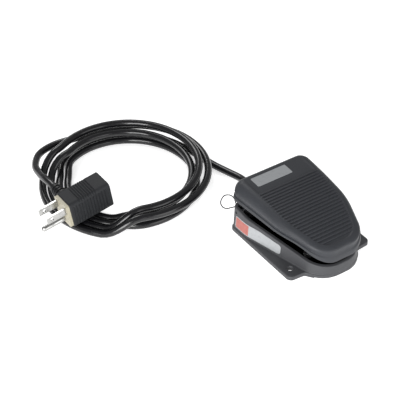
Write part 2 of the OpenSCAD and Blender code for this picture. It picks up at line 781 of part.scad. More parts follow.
// The turns lie round a bundle, each a fifth of the way on from the last, and side by side under the plug
function bundle_angle(a) = bundle_first_angle - (a - coil_first_angle) / turns_round;
function flat_share(a) =
    let(d = (a - flat_angle + 180) % 360 - 180)
    (abs(d) - flat_half) / (flat_end - flat_half);
function flat_place(a) = flat_shares[floor((a - flat_angle + 180) / 360)];
function coil_radius(a) =
    let(bundled = smooth((flat_share(a) - spread_share) / (1 - spread_share)))
    coil_r + lerp(flat_place(a) * flat_pitch, bundle_r * cos(bundle_angle(a)), bundled);
function coil_point(a) =
    let(bundled = smooth(flat_share(a) / lower_share))
    [coil_middle.x + coil_radius(a) * cos(a),
     coil_middle.y + coil_radius(a) * sin(a),
     cord_r + bundled * bundle_h * (1 + sin(bundle_angle(a)))];
function coil_dir(a) = unit(coil_point(a + 1 / 2) - coil_point(a - 1 / 2));
coil_steps = round((coil_last_angle - coil_first_angle) * loop_rings / 360);
coil_start = coil_point(coil_first_angle) - cord_d * coil_dir(coil_first_angle);
coil_end = coil_point(coil_last_angle) + cord_d * coil_dir(coil_last_angle);
coil_path = concat([coil_start],
    [for (i = [0 : coil_steps]) coil_point(lerp(coil_first_angle, coil_last_angle, i / coil_steps))],
    [coil_end]);

lead_points = concat(
    [[0, base_rear + relief_l + end_gap, cord_h],
     [0, base_rear + relief_l + cord_d, cord_h],
     [1, 112, 5.8],
     [-1.5, 127, 4],
     [-5.5, 144, 3.4]],
    [coil_start - cord_d * coil_dir(coil_first_angle), coil_start - end_gap * coil_dir(coil_first_angle)]);

plug_x = -149.5;
plug_y = 143.5;
plug_z = 17.6;
plug_tilt = 9;
plug_relief_l = 19;
plug_relief_back = 9.5;
tail_end = [plug_x + plug_relief_back * cos(plug_tilt),
            plug_y + plug_w / 2 + plug_relief_l + end_gap,
            plug_z + plug_relief_back * sin(plug_tilt)];
tail_points = concat(
    [coil_end + end_gap * coil_dir(coil_last_angle), coil_end + cord_d * coil_dir(coil_last_angle)],
    [[-106, 234, 10.5],
     [-123, 229, 11],
     [-134.5, 215, 12.5],
     [-138.5, 200.5, 15],
     [-140, 188.5, 18]],
    [tail_end + [0, cord_d, 0], tail_end]);

module cord_lead() {
    color(cord_color) tube(spline(lead_points, cord_steps), cord_r, cord_sides, [0, 0, 1]);
}
module cord_coil() {
    color(cord_color) tube(coil_path, cord_r, coil_sides, [0, 0, 1]);
}
module cord_tail() {
    color(cord_color) tube(spline(tail_points, cord_steps), cord_r, cord_sides, [0, 0, 1]);
}

function run(path) = len(path) < 2 ? 0
    : let(steps = [for (i = [1 : len(path) - 1]) norm(path[i] - path[i - 1])]) steps * [for (s = steps) 1];
coil_gap = min([for (i = [0 : coil_steps], j = [i + loop_rings / 2 : 1 : coil_steps])
    norm(coil_path[i + 1] - coil_path[j + 1])]) - cord_d;
echo(coil_gap = coil_gap);
echo(lead = run(spline(lead_points, cord_steps)));
echo(coil = run(coil_path));
echo(tail = run(spline(tail_points, cord_steps)));

// Plug, drawn with its blades along +X and turned into place
module place_plug() {
    translate([plug_x, plug_y, plug_z]) rotate([0, -plug_tilt, 0]) rotate([0, 0, 180]) children();
}
blade_z = 5.2;
ground_z = blade_z - ground_drop;
plug_face_t = 2.6;
plug_corner_r = 3.2;
face_inset = 1;
blade_root = 6;
blade_fit = 0.08;
groove_w = 1.1;
groove_deep = 0.7;
top_groove_step = 2.3;
top_groove_share = 0.36;
side_groove_step = 3.1;
side_groove_share = 0.2;
top_grooves = 6;
side_grooves = 9;
plug_corner_steps = 5;
slot_deep = 15;
slot_w_room = 1;
slot_h_room = 0.9;

module plug_outline(w, h, r) {
    polygon(rounded([[-w / 2, h / 2], [-w / 2, -h / 2], [w / 2, -h / 2], [w / 2, h / 2]], [r, r, r, r],
                    [plug_corner_steps, plug_corner_steps, plug_corner_steps, plug_corner_steps],
                    [0, 0, 0, 0]));
}
// Extrudes an outline drawn as width across and height up, towards the cord end
module along_plug(length) {
    rotate([90, 0, -90]) linear_extrude(length) children();
}
module blade_pockets(room, from, deep) {
    for (side = [-1, 1])
        translate([from - deep, side * blade_gap / 2 - blade_t / 2 - room, blade_z - blade_w / 2 - room])
            cube([deep, blade_t + 2 * room, blade_w + 2 * room]);
    translate([from - deep, 0, ground_z])
        rotate([0, 90, 0]) cylinder(d = ground_d + 2 * room, h = deep, $fn = round_fn);
}
module plug_body() {
    color(base_color)
    place_plug()
    difference() {
        translate([-plug_face_t - seat_gap / 3, 0, 0])
            along_plug(plug_l - plug_face_t) plug_outline(plug_w, plug_h, plug_corner_r);
        blade_pockets(blade_fit, 0, plug_face_t + blade_root);
        for (i = [0 : top_grooves - 1])
            translate([-plug_l * top_groove_share - i * top_groove_step, -plug_w, plug_h / 2 - groove_deep])
                cube([groove_w, 2 * plug_w, 2 * groove_deep]);
        for (i = [0 : side_grooves - 1])
            translate([-plug_l * side_groove_share - i * side_groove_step, plug_w / 2 - groove_deep,
                       -plug_h / 2 - over])
                cube([groove_w, 2 * groove_deep, plug_h - plug_corner_r]);
        for (side = [-1, 1])
            translate([-plug_l - over, side * blade_gap / 2 - blade_t / 2 - slot_w_room / 2,
                       blade_z - blade_w / 2 - slot_h_room / 2])
                cube([slot_deep + over, blade_t + slot_w_room, blade_w + slot_h_room]);
        translate([-plug_l - over, 0, ground_z])
            rotate([0, 90, 0]) cylinder(d = ground_d + slot_w_room, h = slot_deep + over, $fn = round_fn);
    }
}
module plug_face() {
    color(cream_color)
    place_plug()
    difference() {
        along_plug(plug_face_t)
            plug_outline(plug_w - 2 * face_inset, plug_h - 2 * face_inset, plug_corner_r - face_inset);
        blade_pockets(blade_fit, over, plug_face_t + 2 * over);
    }
}
blade_hole_d = 3.2;
blade_hole_back = 4.5;
module blade(side) {
    color(steel_color)
    place_plug()
    difference() {
        translate([-plug_face_t - blade_root + 2 * blade_fit,
                   side * blade_gap / 2 - blade_t / 2, blade_z - blade_w / 2])
            cube([plug_face_t + blade_root + blade_l, blade_t, blade_w]);
        translate([blade_l - blade_hole_back, side * blade_gap / 2 - blade_t, blade_z])
            rotate([-90, 0, 0]) cylinder(d = blade_hole_d, h = 2 * blade_t, $fn = round_fn);
    }
}
module live_blade() { blade(1); }
module neutral_blade() { blade(-1); }
module ground_pin() {
    nose_r = ground_d / 2;
    color(steel_color)
    place_plug()
        translate([0, 0, ground_z])
        rotate([0, 90, 0])
        union() {
            translate([0, 0, -plug_face_t - blade_root + 2 * blade_fit])
                cylinder(d = ground_d, h = plug_face_t + blade_root + ground_l - nose_r, $fn = round_fn);
            translate([0, 0, ground_l - nose_r]) sphere(d = ground_d, $fn = round_fn);
        }
}
contact_t = 0.4;
contact_l = 9;
module socket_contacts() {
    color(brass_color)
    place_plug() {
        for (side = [-1, 1])
            translate([-plug_l + slot_deep - contact_l - seat_gap,
                       side * blade_gap / 2 - (blade_t + slot_w_room - seat_gap) / 2,
                       blade_z - blade_w / 2])
                cube([contact_l, contact_t, blade_w]);
        translate([-plug_l + slot_deep - contact_l - seat_gap, 0, ground_z])
            rotate([0, 90, 0])
            difference() {
                cylinder(d = ground_d + slot_w_room - seat_gap, h = contact_l, $fn = round_fn);
                translate([0, 0, -over])
                    cylinder(d = ground_d + slot_w_room / 4, h = contact_l + 2 * over, $fn = round_fn);
            }
    }
}
plug_relief_r = 6.4;
plug_relief_ribs = 5;
plug_relief_collar = 2;
plug_rib_out = 0.5;
plug_rib_deep = 0.7;
module plug_relief() {
    step = (plug_relief_l - plug_relief_collar) / plug_relief_ribs;
    color(base_color)
    translate([tail_end.x, plug_y + plug_w / 2, tail_end.z])
        rotate([-90, 0, 0])
        rotate_extrude($fn = round_fn)
        polygon(concat(
            [[0, 0], [plug_relief_r, 0]],
            [for (i = [0 : plug_relief_ribs - 1])
                each rib_profile(plug_relief_collar / 2 + step * i, step,
                                 lerp(plug_relief_r, relief_tip_r + plug_rib_out,
                                      i / (plug_relief_ribs - 1)),
                                 plug_rib_deep, relief_rib_shares)],
            [[relief_tip_r, plug_relief_l], [0, plug_relief_l]]));
}

base_housing();
treadle();
hinge_pin();
pin_clips();
pin_wire();
spring_left();
spring_right();
switch_bracket();
bracket_screws();
switch_case();
switch_button();
switch_terminals();
switch_screws();
switch_nuts();
press_screw();
press_nut();
strain_relief();
cord_jacket();
cord_clamp();
clamp_screws();
wire_live();
wire_switched();
cord_lead();
cord_coil();
cord_tail();
plug_body();
plug_face();
live_blade();
neutral_blade();
ground_pin();
socket_contacts();
plug_relief();
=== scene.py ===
"""Foot switch with a hinged treadle, a coiled lead and a series plug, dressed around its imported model.

Lengths are written in millimetres and become metres where a mesh is made. +Y runs to the hinge end,
where the lead leaves, +Z is up, and the origin is midway between the ear holes on the underside.
"""

import math

import bpy
import numpy as np
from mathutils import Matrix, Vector


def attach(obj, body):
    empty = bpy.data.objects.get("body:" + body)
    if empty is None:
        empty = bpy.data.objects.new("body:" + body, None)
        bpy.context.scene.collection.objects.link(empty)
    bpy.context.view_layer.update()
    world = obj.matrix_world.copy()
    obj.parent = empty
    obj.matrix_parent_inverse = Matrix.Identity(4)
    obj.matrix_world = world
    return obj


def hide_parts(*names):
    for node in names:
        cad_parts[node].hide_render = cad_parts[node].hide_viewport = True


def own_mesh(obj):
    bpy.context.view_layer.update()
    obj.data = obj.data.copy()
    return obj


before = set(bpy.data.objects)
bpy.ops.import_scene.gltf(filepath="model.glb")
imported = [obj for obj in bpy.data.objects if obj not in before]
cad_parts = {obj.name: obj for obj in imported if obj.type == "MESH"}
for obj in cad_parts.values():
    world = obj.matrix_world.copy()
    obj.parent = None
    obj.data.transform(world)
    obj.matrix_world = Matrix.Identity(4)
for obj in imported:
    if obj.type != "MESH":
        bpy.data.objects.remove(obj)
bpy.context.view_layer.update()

bl_info = {
    "name": "Foot switch",
    "version": (1, 0, 0),
    "blender": (4, 5, 0),
    "location": "View3D > Sidebar > Foot switch",
    "description": "Builds a moulded foot switch with its lead, plug and finishes",
    "category": "Add Mesh",
}

MM = 0.001
SHARP = math.radians(32.0)
QUARTER = np.radians(np.linspace(0, 90, 6))

# Fixed places on the switch, in millimetres: +Y is the hinge end and -X the labelled side
EAR_X = 32.4
SPRING_X, SPRING_Y = 11.0, 4.0
PIN_Y, PIN_Z = 63.5, 18.8
WIRE_X, WIRE_LOW, WIRE_HIGH = -33.0, 17.8, 21.0
REAR_Y = 69.5
LEAD_Z = 8.2
PRESS_Y = 33.5
PLUG_AT = np.array([-149.5, 143.5, 17.6])
PLUG_TILT = math.radians(9.0)


# Arrays and meshes


def unit(vector):
    """Each vector divided by its own length."""
    vector = np.asarray(vector, float)
    return vector / np.linalg.norm(vector, axis=-1, keepdims=True)


def ease(share):
    """Smooth step: 3 s squared minus 2 s cubed, with s held between 0 and 1."""
    s = np.clip(share, 0, 1)
    return s * s * (3 - 2 * s)


def round_edge(distance, radius):
    """Inset of a round edge this far from its end: the radius less the circle's height there."""
    near = 1 - np.clip(distance / radius, 0, 1)
    return radius * (1 - np.sqrt(np.clip(1 - near**2, 0, 1)))


def mesh_piece(name, points, faces, finish, body):
    """Object from points in millimetres and a list of index arrays, each of faces of one size."""
    mesh = bpy.data.meshes.new(name)
    corners = np.concatenate([f.ravel() for f in faces]).astype(np.int32)
    counts = np.concatenate([np.full(len(f), f.shape[1]) for f in faces])
    starts = np.concatenate([[0], np.cumsum(counts)[:-1]]).astype(np.int32)
    mesh.vertices.add(len(points))
    mesh.vertices.foreach_set("co", (np.asarray(points, float) * MM).astype(np.float32).ravel())
    mesh.loops.add(len(corners))
    mesh.loops.foreach_set("vertex_index", corners)
    mesh.polygons.add(len(counts))
    mesh.polygons.foreach_set("loop_start", starts)
    mesh.update(calc_edges=True)
    mesh.validate()
    mesh.shade_smooth()
    mesh.set_sharp_from_angle(angle=SHARP)
    piece = bpy.data.objects.new(name, mesh)
    bpy.context.scene.collection.objects.link(piece)
    if finish is not None:
        mesh.materials.append(finish)
    if body is not None:
        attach(piece, body)
    return piece


def ring_faces(rings, points):
    """Quads between neighbouring rings: corner (k, i) joins (k, i+1), (k+1, i+1) and (k+1, i)."""
    k, i = np.meshgrid(np.arange(rings - 1), np.arange(points), indexing="ij")
    j = (i + 1) % points
    quads = np.stack([k * points + i, k * points + j, (k + 1) * points + j, (k + 1) * points + i], -1)
    return quads.reshape(-1, 4)


def closed_stack(rings):
    """Points and faces of a stack of rings, shape (rings, points, 3), with a fan to each end's middle."""
    rings = np.asarray(rings, float)
    m, n = rings.shape[:2]
    points = np.concatenate([rings.reshape(-1, 3), [rings[0].mean(0)], [rings[-1].mean(0)]])
    i = np.arange(n)
    j = (i + 1) % n
    first = np.stack([np.full(n, m * n), j, i], -1)
    last = np.stack([np.full(n, m * n + 1), (m - 1) * n + i, (m - 1) * n + j], -1)
    return points, [ring_faces(m, n), np.concatenate([first, last])]


def joined(parts):
    """Puts several (points, faces) pairs into one pair, its indices moved on past the earlier points."""
    starts = np.cumsum([0] + [len(points) for points, _ in parts])
    faces = [some + start for (_, several), start in zip(parts, starts) for some in several]
    return np.concatenate([points for points, _ in parts]), faces


def turned_profile(profile, steps, axis, at):
    """Solid of revolution: profile rows are (radius, place along the axis), turned once round the axis."""
    angle = np.linspace(0, 2 * np.pi, steps, endpoint=False)
    profile = np.asarray(profile, float)
    a = profile[:, :1] * np.cos(angle)
    b = profile[:, :1] * np.sin(angle)
    c = np.repeat(profile[:, 1:], steps, 1)
    order = {"z": (a, b, c), "x": (c, a, b), "y": (b, c, a)}[axis]
    return closed_stack(np.stack(order, -1) + np.asarray(at, float))


def swept_tube(path, radius, sides):
    """Round tube: each path point plus the radius times (cosine of side + sine of the upper normal)."""
    path = np.asarray(path, float)
    along = unit(np.gradient(path, axis=0))
    side = unit(np.cross(along, (0.0, 0.0, 1.0)))
    upper = np.cross(side, along)
    angle = np.linspace(0, 2 * np.pi, sides, endpoint=False)
    wheel = np.cos(angle)[:, None] * side[:, None] + np.sin(angle)[:, None] * upper[:, None]
    return closed_stack(path[:, None] + radius * wheel)


def through(points, steps):
    """Catmull-Rom curve: cubics whose slope at a point is half the step between its neighbours."""
    p = np.asarray(points, float)
    p = np.concatenate([p[:1], p, p[-1:]])
    a, b, c, d = (p[k : len(p) - 3 + k][:, None] for k in range(4))
    t = np.linspace(0, 1, steps, endpoint=False)[None, :, None]
    curve = b + ((c - a) * t + (2 * a - 5 * b + 4 * c - d) * t**2 + (3 * b - a - 3 * c + d) * t**3) / 2
    return np.concatenate([curve.reshape(-1, p.shape[1]), p[-1:]])


def rounded_outline(corners, radii, arc_steps, straight_steps):
    """Closed outline with circular arcs at its corners and even points on the straights between."""
    corners = np.asarray(corners, float)
    before, after = np.roll(corners, 1, 0), np.roll(corners, -1, 0)
    radii = np.asarray(radii, float)[:, None]
    u, w = unit(before - corners), unit(after - corners)
    half = np.arccos(np.clip((u * w).sum(1, keepdims=True), -1, 1)) / 2
    middle = corners + unit(u + w) * radii / np.sin(half)
    first = corners + u * radii / np.tan(half)
    last = corners + w * radii / np.tan(half)
    start = np.arctan2(*(first - middle).T[::-1])
    sweep = (np.arctan2(*(last - middle).T[::-1]) - start + 3 * np.pi) % (2 * np.pi) - np.pi
    t = start[:, None] + sweep[:, None] * np.linspace(0, 1, arc_steps + 1)
    arcs = middle[:, None] + radii[:, None] * np.stack([np.cos(t), np.sin(t)], -1)
    share = (np.arange(1, straight_steps + 1) / (straight_steps + 1))[None, :, None]
    straight = last[:, None] * (1 - share) + np.roll(first, -1, 0)[:, None] * share
    return np.concatenate([arcs, straight], 1).reshape(-1, 2)


def wedge(rear, waist, nose, sides, in_rear, in_nose):
    """Outline nearly straight behind its waist and narrowed to a round nose, drawn in by its insets.

    rear, waist and nose are each (half width, place along Y, corner radius).
    """
    rear_r = max(rear[2] - in_rear, rear[2] / 4)
    nose_r = nose[2] - in_nose
    corners = [
        (-rear[0] + sides[0], rear[1] - in_rear),
        (-waist[0] + sides[1], waist[1]),
        (-nose[0] + sides[2], nose[1] + in_nose),
        (nose[0] - sides[2], nose[1] + in_nose),
        (waist[0] - sides[1], waist[1]),
        (rear[0] - sides[0], rear[1] - in_rear),
    ]
    radii = (rear_r, waist[2], nose_r, nose_r, waist[2], rear_r)
    return rounded_outline(corners, radii, 20, 14)


def cut(piece, cutters, operation="DIFFERENCE"):
    """Takes the cutters' solids out of the piece, or joins them to it, and keeps only the result."""
    for points, faces in cutters:
        cutter = mesh_piece("cutter", points, faces, None, None)
        change = piece.modifiers.new("cut", "BOOLEAN")
        change.operation = operation
        change.solver = "EXACT"
        change.object = cutter
        graph = bpy.context.evaluated_depsgraph_get()
        result = bpy.data.meshes.new_from_object(piece.evaluated_get(graph))
        piece.modifiers.clear()
        old = piece.data
        piece.data = result
        result.name = piece.name
        bpy.data.meshes.remove(old)
        spent = cutter.data
        bpy.data.objects.remove(cutter)
        bpy.data.meshes.remove(spent)
    piece.data.shade_smooth()
    piece.data.set_sharp_from_angle(angle=SHARP)


# Materials


class Signal:
    """A value in a material's graph. Python's operators on it add the Math nodes."""

    def __init__(self, graph, socket):
        self.graph = graph
        self.socket = socket

    def math(self, operation, first, second):
        return self.graph.node("ShaderNodeMath", {"operation": operation}, {0: first, 1: second})

    def __add__(self, other):
        return self.math("ADD", self, other)

    def __sub__(self, other):
        return self.math("SUBTRACT", self, other)

    def __mul__(self, other):
        return self.math("MULTIPLY", self, other)

    def __rsub__(self, other):
        return self.math("SUBTRACT", other, self)

    __radd__ = __add__
    __rmul__ = __mul__

    def above(self, edge, soft):
        """0 below the edge and 1 above it, with a soft step between them."""
        inputs = {"Value": self, "From Min": edge - soft, "From Max": edge + soft}
        return self.graph.node("ShaderNodeMapRange", {"interpolation_type": "SMOOTHSTEP"}, inputs, "Result")


class Finish:
    """A procedural material for one of the switch's surfaces."""

    def __init__(self, name, **shader):
        self.material = bpy.data.materials.new(name)
        self.material.use_nodes = True
        self.tree = self.material.node_tree
        self.tree.nodes.clear()
        self.bsdf = self.tree.nodes.new("ShaderNodeBsdfPrincipled")
        output = self.tree.nodes.new("ShaderNodeOutputMaterial")
        self.tree.links.new(self.bsdf.outputs[0], output.inputs[0])
        for key, value in shader.items():
            self.bsdf.inputs[key.replace("_", " ")].default_value = value

    def node(self, kind, settings, inputs, output=0):
        """Adds a node: its settings first, then a value or a link for each of its sockets."""
        node = self.tree.nodes.new(kind)
        for name, value in settings.items():
            setattr(node, name, value)
        for key, value in inputs.items():
            if isinstance(value, Signal):
                self.tree.links.new(value.socket, node.inputs[key])
            else:
                node.inputs[key].default_value = value
        return Signal(self, node.outputs[output])

    def place(self):
        """The point on the object, in metres."""
        return self.node("ShaderNodeTexCoord", {}, {}, "Object")

    def stretched(self, scale, turn=(0, 0, 0)):
        """The point on the object, scaled along each axis and turned."""
        inputs = {"Vector": self.place(), "Scale": scale, "Rotation": turn}
        return self.node("ShaderNodeMapping", {}, inputs)

    def noise(self, scale, detail=3.0, rough=0.5, where=None):
        """Cloudy noise between 0 and 1, with this many patches in a metre."""
        inputs = {"Vector": where or self.place(), "Scale": scale, "Detail": detail, "Roughness": rough}
        return self.node("ShaderNodeTexNoise", {}, inputs, "Fac")

    def pits(self, scale):
        """Distance to the nearest grain, for a spark-eroded surface."""
        inputs = {"Vector": self.place(), "Scale": scale}
        return self.node("ShaderNodeTexVoronoi", {}, inputs, "Distance")

    def blend(self, share, low, high):
        """Colour between low and high by the share."""
        inputs = {"Factor": share, 6: low, 7: high}
        return self.node("ShaderNodeMix", {"data_type": "RGBA"}, inputs, 2)

    def bump(self, height, strength, distance):
        inputs = {"Height": height, "Strength": strength, "Distance": distance}
        return self.node("ShaderNodeBump", {}, inputs, "Normal")

    def feed(self, **signals):
        """Links signals to the shader's own sockets."""
        for name, signal in signals.items():
            self.tree.links.new(signal.socket, self.bsdf.inputs[name.replace("_", " ")])
        return self.material


def rgba(colour, share=1.0):
    """The colour times the share, at most 1 in each channel, with an alpha of 1."""
    return tuple(min(1.0, c * share) for c in colour[:3]) + (1.0,)


def moulded_plastic(name, colour, rough=0.5, grain=0.35, sheen=0.4):
    """Dark moulded plastic: fine spark-eroded grain, faint flow clouds and a few rubbed patches."""
    f = Finish(name, IOR=1.48, Specular_IOR_Level=sheen)
    cloud = f.noise(45.0, 4.0, 0.6)
    grains = f.pits(2600.0)
    fine = f.noise(3800.0, 2.0, 0.6)
    scuff = f.noise(420.0, 6.0, 0.7, f.stretched((1.0, 0.25, 1.0), (0, 0, 0.5))).above(0.66, 0.06)
    tone = f.blend(cloud, rgba(colour, 0.86), rgba(colour, 1.14))
    worn = f.blend(scuff * 0.25, tone, rgba(colour, 1.9))
    height = grains * 0.5 + fine * 0.5
    return f.feed(
        Base_Color=worn,
        Roughness=rough + (cloud - 0.5) * 0.12 - scuff * 0.06,
        Normal=f.bump(height, grain, 0.00012),
    )


def cord_jacket_finish(name, colour, rough=0.14):
    """Extruded cord jacket: smooth and glossy, with faint draw lines and a little dust."""
    f = Finish(name, IOR=1.52, Specular_IOR_Level=0.48)
    wave = f.noise(260.0, 3.0, 0.5)
    dust = f.noise(900.0, 5.0, 0.7).above(0.62, 0.1)
    tone = f.blend(dust * 0.3, rgba(colour), rgba(colour, 2.2))
    return f.feed(
        Base_Color=tone,
        Roughness=rough + wave * 0.1 + dust * 0.14,
        Normal=f.bump(wave * 0.7 + f.noise(2400.0) * 0.3, 0.18, 0.0002),
    )


def bright_metal(name, colour, rough=0.24, draw=(1.0, 12.0, 12.0)):
    """Plated metal: fine drawn lines along one direction and a few dull patches."""
    f = Finish(name, Metallic=1.0)
    lines = f.noise(900.0, 3.0, 0.6, f.stretched(draw))
    dull = f.noise(180.0, 4.0, 0.6).above(0.56, 0.12)
    tone = f.blend(dull, rgba(colour), rgba(colour, 0.78))
    return f.feed(
        Base_Color=tone,
        Roughness=rough + dull * 0.16 + (lines - 0.5) * 0.14,
        Normal=f.bump(lines, 0.12, 0.0001),
    )


def smooth_plastic(name, colour, rough=0.35):
    """Smooth coloured plastic with a slight waviness and specks."""
    f = Finish(name, IOR=1.5, Specular_IOR_Level=0.45)
    cloud = f.noise(130.0, 4.0, 0.55)
    speck = f.noise(2800.0, 2.0, 0.7).above(0.68, 0.04)
    tone = f.blend(cloud, rgba(colour, 0.9), rgba(colour, 1.06))
    specked = f.blend(speck * 0.35, tone, rgba(colour, 0.6))
    return f.feed(
        Base_Color=specked,
        Roughness=rough + (cloud - 0.5) * 0.12,
        Normal=f.bump(cloud * 0.6 + f.noise(1500.0) * 0.4, 0.1, 0.0002),
    )


def foil_label(name, colour, rough=0.34):
    """Bare printed-stock label: satin foil with a faint cross-hatch, dulled towards worn patches."""
    f = Finish(name, Specular_IOR_Level=0.5)
    hatch = f.noise(1500.0, 2.0, 0.5, f.stretched((0.15, 1.0, 1.0)))
    worn = f.noise(260.0, 5.0, 0.6).above(0.58, 0.1)
    tone = f.blend(hatch, rgba(colour, 0.9), rgba(colour, 1.04))
    dulled = f.blend(worn * 0.45, tone, rgba(colour, 0.78))
    return f.feed(
        Base_Color=dulled,
        Roughness=rough + worn * 0.2 + (hatch - 0.5) * 0.1,
        Normal=f.bump(hatch, 0.08, 0.0001),
    )


# Sizes and colours that a user would change


def length(name, description, default):
    """A length, given here in millimetres and kept in metres."""
    return bpy.props.FloatProperty(
        name=name, description=description, default=default * MM, unit="LENGTH", precision=4
    )


def colour(name, description, default):
    return bpy.props.FloatVectorProperty(
        name=name, description=description, default=default, subtype="COLOR", size=3
    )


def strength(name, description, default):
    return bpy.props.FloatProperty(name=name, description=description, default=default)


class BaseSizes(bpy.types.PropertyGroup):
    """Sizes of the moulded base."""

    width: length("Width", "Width over the flange", 79.4)
    rear: length("Rear", "Distance from the ear holes to the rear face", 69.5)
    nose: length("Nose", "Distance from the ear holes to the nose", 24.4)
    ears: length("Ears", "Distance from the ear holes to the front of the ears", 9.2)
    rear_height: length("Rear height", "Height of the wall at the rear", 23.8)
    nose_height: length("Nose height", "Height of the wall at the nose", 10.4)
    wall: length("Wall", "Thickness of the wall", 2.4)
    lean: length("Lean", "Lean of the side walls over their height", 1.2)
    flange: length("Flange", "Thickness of the flange", 3.6)
    edge: length("Edge", "Radius of the flange's and the rim's edges", 0.8)


class TreadleSizes(bpy.types.PropertyGroup):
    """Sizes of the treadle's hood and tread."""

    width: length("Width", "Width at the rear, before rounding", 75.6)
    nose_width: length("Nose width", "Width at the nose, before rounding", 42.0)
    overhang: length("Overhang", "Reach past the rear face of the base", 6.0)
    height: length("Height", "Height of the top at the rear", 43.7)
    drop: length("Drop", "Drop of the top from rear to nose", 16.2)
    lip: length("Lip", "Height of the skirt's lower edge along the sides", 28.0)
    dip: length("Dip", "Dip of the skirt's lower edge at the nose", 13.0)
    shell: length("Shell", "Thickness of the shell", 2.8)
    bead: length("Bead", "Depth of the tread behind the front bead", 0.9)
    rib_height: length("Rib height", "Height of a tread rib", 0.8)
    rib_width: length("Rib width", "Width of a tread rib", 1.4)
    rib_pitch: length("Rib pitch", "Distance from one rib to the next", 2.95)
    rib_count: bpy.props.IntProperty(
        name="Ribs", description="Number of tread ribs", default=22, min=1, max=26
    )


class LeadSizes(bpy.types.PropertyGroup):
    """Sizes of the lead and its coil."""

    diameter: length("Diameter", "Diameter of the lead", 6.2)
    coil_radius: length("Coil radius", "Radius of the coil's middle", 60.2)
    bundle_radius: length("Bundle radius", "Reach of the turns to either side of the middle", 7.2)
    bundle_rise: length("Bundle rise", "Half of the height through which the turns are stacked", 8.0)
    flat_pitch: length("Flat pitch", "Distance between turns side by side under the plug", 6.9)


class PlugSizes(bpy.types.PropertyGroup):
    """Sizes of the plug's body."""

    body: length("Body", "Length of the body", 40.0)
    width: length("Width", "Width of the body", 21.5)
    height: length("Height", "Height of the body", 24.0)
    corner: length("Corner", "Radius of the body's long edges", 3.2)
    groove: length("Groove", "Depth of the grip grooves", 0.7)


class Colours(bpy.types.PropertyGroup):
    """Colours of the switch."""

    base: colour("Base", "Colour of the base's plastic", (0.045, 0.046, 0.050))
    treadle: colour("Treadle", "Colour of the treadle's plastic", (0.026, 0.028, 0.033))
    cord: colour("Cord", "Colour of the cord's jacket", (0.004, 0.004, 0.005))
    plug: colour("Plug", "Colour of the plug's body", (0.019, 0.020, 0.022))
    insulator: colour("Insulator", "Colour of the plug's face", (0.34, 0.315, 0.235))
    label_red: colour("Label red", "Colour of the side label's rear block", (0.36, 0.105, 0.085))
    label_side: colour("Label side", "Colour of the side label's pale part", (0.32, 0.33, 0.34))
    label_top: colour("Label top", "Colour of the treadle's label", (0.26, 0.27, 0.28))


GROUPS = {
    "footswitch_base": BaseSizes,
    "footswitch_treadle": TreadleSizes,
    "footswitch_lead": LeadSizes,
    "footswitch_plug": PlugSizes,
    "footswitch_colours": Colours,
}


def own_keys(group):
    return [key for key in group.bl_rna.properties.keys() if key not in ("rna_type", "name")]


def sizes(group):
    """The group's lengths in millimetres, and its other values as they are."""
    out = {}
    for key in own_keys(group):
        in_metres = getattr(group.bl_rna.properties[key], "unit", "NONE") == "LENGTH"
        out[key] = getattr(group, key) / MM if in_metres else getattr(group, key)
    return out


# Shapes of the moulded pieces


